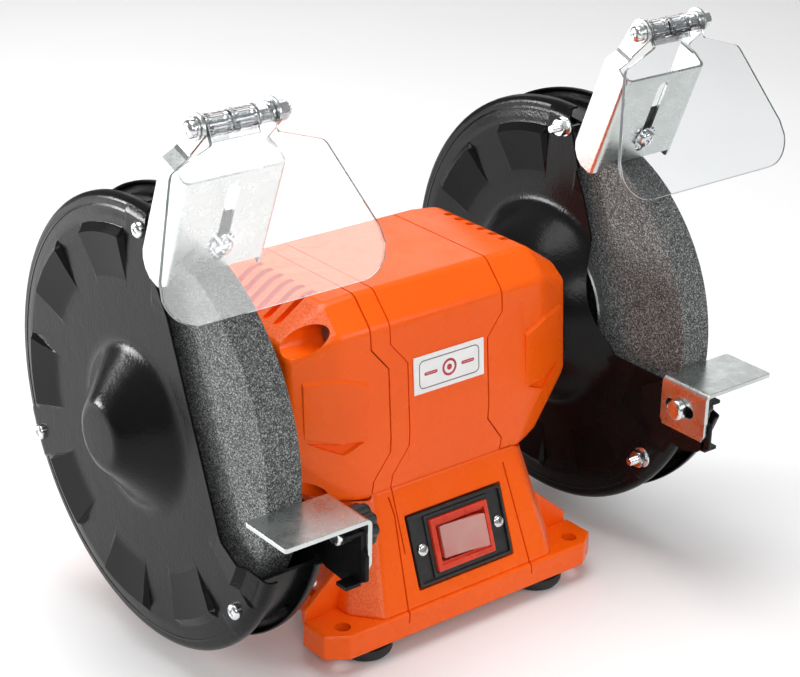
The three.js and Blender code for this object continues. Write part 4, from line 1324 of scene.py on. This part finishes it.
# ------------------------------------------------------------------ assembly
def paint_faces(obj, look, chosen):
    """Gives the faces that chosen(centre, normal) picks a second look. The centre is in millimetres."""
    obj.data.materials.append(LOOKS[look])
    back = TO_FRAME.inverted()
    for polygon in obj.data.polygons:
        if chosen(back @ polygon.center, polygon.normal):
            polygon.material_index = 1


def add_housing():
    shell = piece("housing_casting", centre_housing(), "frame", "orange", "centre_housing")
    paint_faces(shell, "stipple", lambda c, n: 24 < c.z < 84 and abs(n.x) > 0.3 and n.y < -0.3)
    for name, side in SIDES:
        bell = piece(f"bell_{name}", end_bell(side), "frame", "orange", f"end_bell_{name}")
        if side < 0:
            paint_faces(bell, "stipple", lambda c, n: n.z > 0.6 and n.x < -0.3 and c.x < -66.2)


def add_wheels():
    for name, side in SIDES:
        piece(f"stone_{name}", grinding_wheel(side), "rotor", "stone", f"wheel_{name}")
        for place in ("inner", "outer"):
            node = f"wheel_flange_{place}_{name}"
            piece(f"flange_{place}_{name}", flange(node), "rotor", "zinc", node)
        node = f"spindle_nut_{name}"
        low, high = node_box(node)
        nut = hex_nut(low.x, high.x, 13.8, 8.3, (0, SHAFT_Z))
        piece(f"nut_{name}", nut, "rotor", "bright", node)


def on_pad(centre, normal):
    """Whether a spot on a guard is on the sloping top of one of its pads."""
    radius = math.hypot(centre.y, centre.z - SHAFT_Z)
    degrees = math.degrees(math.atan2(centre.z - SHAFT_Z, -centre.y)) % 360
    steps = (degrees - PAD_FIRST) / PAD_PITCH
    away = abs(steps - round(steps)) * PAD_PITCH
    # The pad tops found here take the darker black: painted shade.
    pressed = -1 <= round(steps) <= 6 and away < PAD_HALF - 0.8
    return pressed and PAD_INNER < radius < PAD_PEAK and abs(normal.x) > 0.9


def rest_arm(name, side):
    """The arm's CAD shape with its edges rounded, and a tongue that runs on in front of it."""
    lip = [(-134.4, 105), (-134.4, 92), (-129, 89), (-129, 108)]
    tongue = mirrored(bevelled(prism("x", lip, 110.2, 112.2), 0.3, 2), side)
    arm = joined(bevelled(cad_copy(f"rest_arm_{name}"), 0.35, 2, 40), tongue)
    clearance = 0.1
    return shifted(arm, clearance * side)


def add_guards():
    for name, side in SIDES:
        for place, make in (("outer", guard_outer), ("inner", guard_inner)):
            plate = mirrored(make(), side)
            node = f"guard_{place}_{name}"
            sheet = piece(f"guard_plate_{place}_{name}", plate, "frame", "black", node, smooth=38)
            # The pads' sloping tops get a darker copy of the black paint: painted shade.
            paint_faces(sheet, "pressed", on_pad)
        band = shifted(guard_band(), side * (GUARD_INNER_X + GUARD_OUTER_X) / 2)
        piece(f"guard_rim_{name}", band, "frame", "black", f"guard_band_{name}")
        piece(f"guard_screws_{name}", mirrored(guard_screws(), side), "frame", "bright")
        piece(f"rest_bracket_{name}", rest_arm(name, side), "frame", "black", f"rest_arm_{name}")
        screw = shifted(clamp_screw(), side * WHEEL_X)
        piece(f"bracket_screw_{name}", screw, "frame", "bright", f"clamp_screw_{name}")


def add_shields():
    along = Matrix.Rotation(-SHIELD_LEAN, 3, "X") @ Vector((0, 1, 0))
    for name, side in SIDES:
        x = side * WHEEL_X
        bracket, hinged = f"bracket_{name}", f"shield_{name}"
        piece(f"shield_plate_{name}", shifted(shield_bracket(), x), bracket, "zinc", f"shield_bracket_{name}")
        piece(f"hinge_screw_{name}", shifted(hinge_bolt(), x), bracket, "bright", f"hinge_bolt_{name}")
        nut = hex_nut(20.9, 26.4, 4.8, 2.4, (HINGE.y, HINGE.z))
        piece(f"hinge_hex_{name}", shifted(nut, x), bracket, "bright", f"hinge_nut_{name}")
        sheet = piece(f"shield_sheet_{name}", shifted(shield(), x), hinged, "clear", hinged, smooth=0)
        # The sheet's edge faces get the dark grey: painted shade.
        paint_faces(sheet, "edge", lambda c, n: abs(n.dot(along)) < 0.8)
        piece(f"shield_hinge_{name}", shifted(shield_barrel(), x), hinged, "clear")


def add_rests():
    for name, side in SIDES:
        plate, bolt = f"tool_rest_{name}", f"rest_bolt_{name}"
        piece(f"rest_plate_{name}", tool_rest(side), plate, "zinc", plate)
        piece(f"rest_screw_{name}", rest_bolt(name), bolt, "bright", bolt)
        low, _ = node_box(f"rest_knob_{name}")
        piece(f"knob_{name}", lobed_knob(low.x), f"knob_{name}", "plastic", f"rest_knob_{name}")


def add_switch():
    piece("bezel", bezel(), "frame", "plastic", "switch_bezel")
    piece("switch_block", switch_body(), "frame", "red", "switch_body")
    piece("rocker_key", rocker(), "rocker", "red", "rocker")
    # The clear cover carries a painted reflection in its colour.
    piece("rocker_window", rocker_cover(), "rocker", "lens", "rocker_cover")
    for (name, _), head in zip(SIDES, bezel_screws()):
        piece(f"bezel_head_{name}", head, "frame", "bright", f"bezel_screw_{name}")


def add_fittings():
    plate = bevelled(label_sheet(22.8, 130.5, 150.5, 0.05, 0.8), 0.25, 2)
    piece("label_sheet", plate, "frame", "white", "label_plate")
    border = label_mark(rounded_ring(19.6, 7.6, 3.0, 0.55), 0.8, 0.86)
    piece("label_border", border, "frame", "ink_grey")
    marks = [label_mark(circle_loops(4.6, 1.3), 0.8, 0.87), label_mark(circle_loops(1.6, 1.5), 0.8, 0.87)]
    for x in (-12.0, 12.0):
        marks.append(shifted(label_mark(rounded_ring(4.2, 0.9, 0.85, 0.8), 0.8, 0.87), x))
    piece("label_marks", joined(*marks), "frame", "ink_red")
    for row, sy in (("front", -1), ("rear", 1)):
        for name, side in SIDES:
            rubber = shifted(foot(), side * 58, sy * 64)
            piece(f"rubber_{row}_{name}", rubber, "frame", "rubber", f"foot_{row}_{name}")
    piece("gland", cable_gland(), "frame", "plastic", "cable_gland")
    piece("base_cover", bevelled(cad_copy("bottom_plate"), 0.5, 2), "frame", "black", "bottom_plate")


def finish_cad_nodes():
    """New materials on the nodes whose CAD shape stays: the shaft and what is inside the motor."""
    kept = {
        "shaft": "steel", "bearing_left": "steel", "bearing_right": "steel", "stator_core": "iron",
        "rotor_core": "iron", "winding_left": "copper", "winding_right": "copper", "capacitor": "can",
    }
    for index in range(1, 5):
        kept[f"through_bolt_{index}"] = "iron"
    for node, look in kept.items():
        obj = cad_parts[node]
        for slot in obj.material_slots:
            slot.material = LOOKS[look]


# ------------------------------------------------------------------ stage
def add_camera():
    azimuth, elevation, roll = (math.radians(a) for a in (-38.69, 23.91, 1.06))
    lens, distance = 92.0, 1.072
    target = Vector((8.15, -5.63, 135.75)) * MM + Vector((0, SHAFT_Y, 0))
    back = Vector((math.sin(azimuth) * math.cos(elevation), -math.cos(azimuth) * math.cos(elevation),
                   math.sin(elevation)))
    level = Vector((math.cos(azimuth), math.sin(azimuth), 0))
    above = back.cross(level)
    right = level * math.cos(roll) + above * math.sin(roll)
    up = above * math.cos(roll) - level * math.sin(roll)
    data = bpy.data.cameras.new("camera")
    data.lens = lens
    data.clip_start = 0.05
    data.clip_end = 20
    camera = bpy.data.objects.new("camera", data)
    place = target + back * distance
    camera.matrix_world = Matrix((
        (right.x, up.x, back.x, place.x), (right.y, up.y, back.y, place.y), (right.z, up.z, back.z, place.z),
        (0, 0, 0, 1),
    ))
    bpy.context.collection.objects.link(camera)
    bpy.context.scene.camera = camera


def area_light(name, place, target, size, power):
    """A soft light at a place in metres, turned to its target, of a size in metres and a power in watts."""
    data = bpy.data.lights.new(name, "AREA")
    data.shape = "RECTANGLE"
    data.size, data.size_y = size
    data.energy = power
    light = bpy.data.objects.new(name, data)
    light.location = place
    light.rotation_mode = "QUATERNION"
    light.rotation_quaternion = (Vector(target) - Vector(place)).to_track_quat("-Z", "Y")
    light.visible_camera = False
    bpy.context.collection.objects.link(light)


def add_stage():
    bm = bmesh.new()
    bmesh.ops.create_grid(bm, x_segments=8, y_segments=8, size=6)
    floor = loose_object("floor", bm)
    look = Look("floor_paper", 0.7)
    look.colour(look.ramp(look.noise(3, 2), (0.3, (0.93, 0.93, 0.93)), (0.7, (0.96, 0.96, 0.96))))
    floor.data.materials.append(look.done())
    bpy.context.scene.world = studio_sky()
    middle = (0, 0, 0.14)
    area_light("overhead", (-0.1, 0.15, 1.6), middle, (1.2, 1.0), 20)
    area_light("front_right", (0.43, -1.0, 0.58), (-0.13, -0.09, 0.24), (0.42, 0.36), 2.3)
    area_light("front_left", (-0.9, -1.3, 1.0), middle, (0.5, 0.5), 6)
    area_light("rear_left", (-1.1, 1.25, 0.42), (-0.17, 0, 0.16), (0.5, 0.4), 24)
    area_light("rear_right", (0.95, 1.2, 0.86), (0, 0, 0.13), (1.1, 0.6), 2.2)


def studio_sky():
    """A dim room that is lighter overhead than at the sides."""
    world = bpy.data.worlds.new("studio")
    world.use_nodes = True
    nodes, links = world.node_tree.nodes, world.node_tree.links
    split = nodes.new("ShaderNodeSeparateXYZ")
    links.new(nodes.new("ShaderNodeTexCoord").outputs["Generated"], split.inputs["Vector"])
    ramp = nodes.new("ShaderNodeValToRGB")
    for element, (at, grey) in zip(ramp.color_ramp.elements, ((0.0, 0.16), (0.9, 0.36))):
        element.position = at
        element.color = (grey, grey, grey, 1)
    links.new(split.outputs["Z"], ramp.inputs["Fac"])
    links.new(ramp.outputs["Color"], nodes["Background"].inputs["Color"])
    return world


add_camera()
add_housing()
add_wheels()
add_guards()
add_shields()
add_rests()
add_switch()
add_fittings()
finish_cad_nodes()
add_stage()
bpy.context.scene.view_settings.view_transform = "Standard"
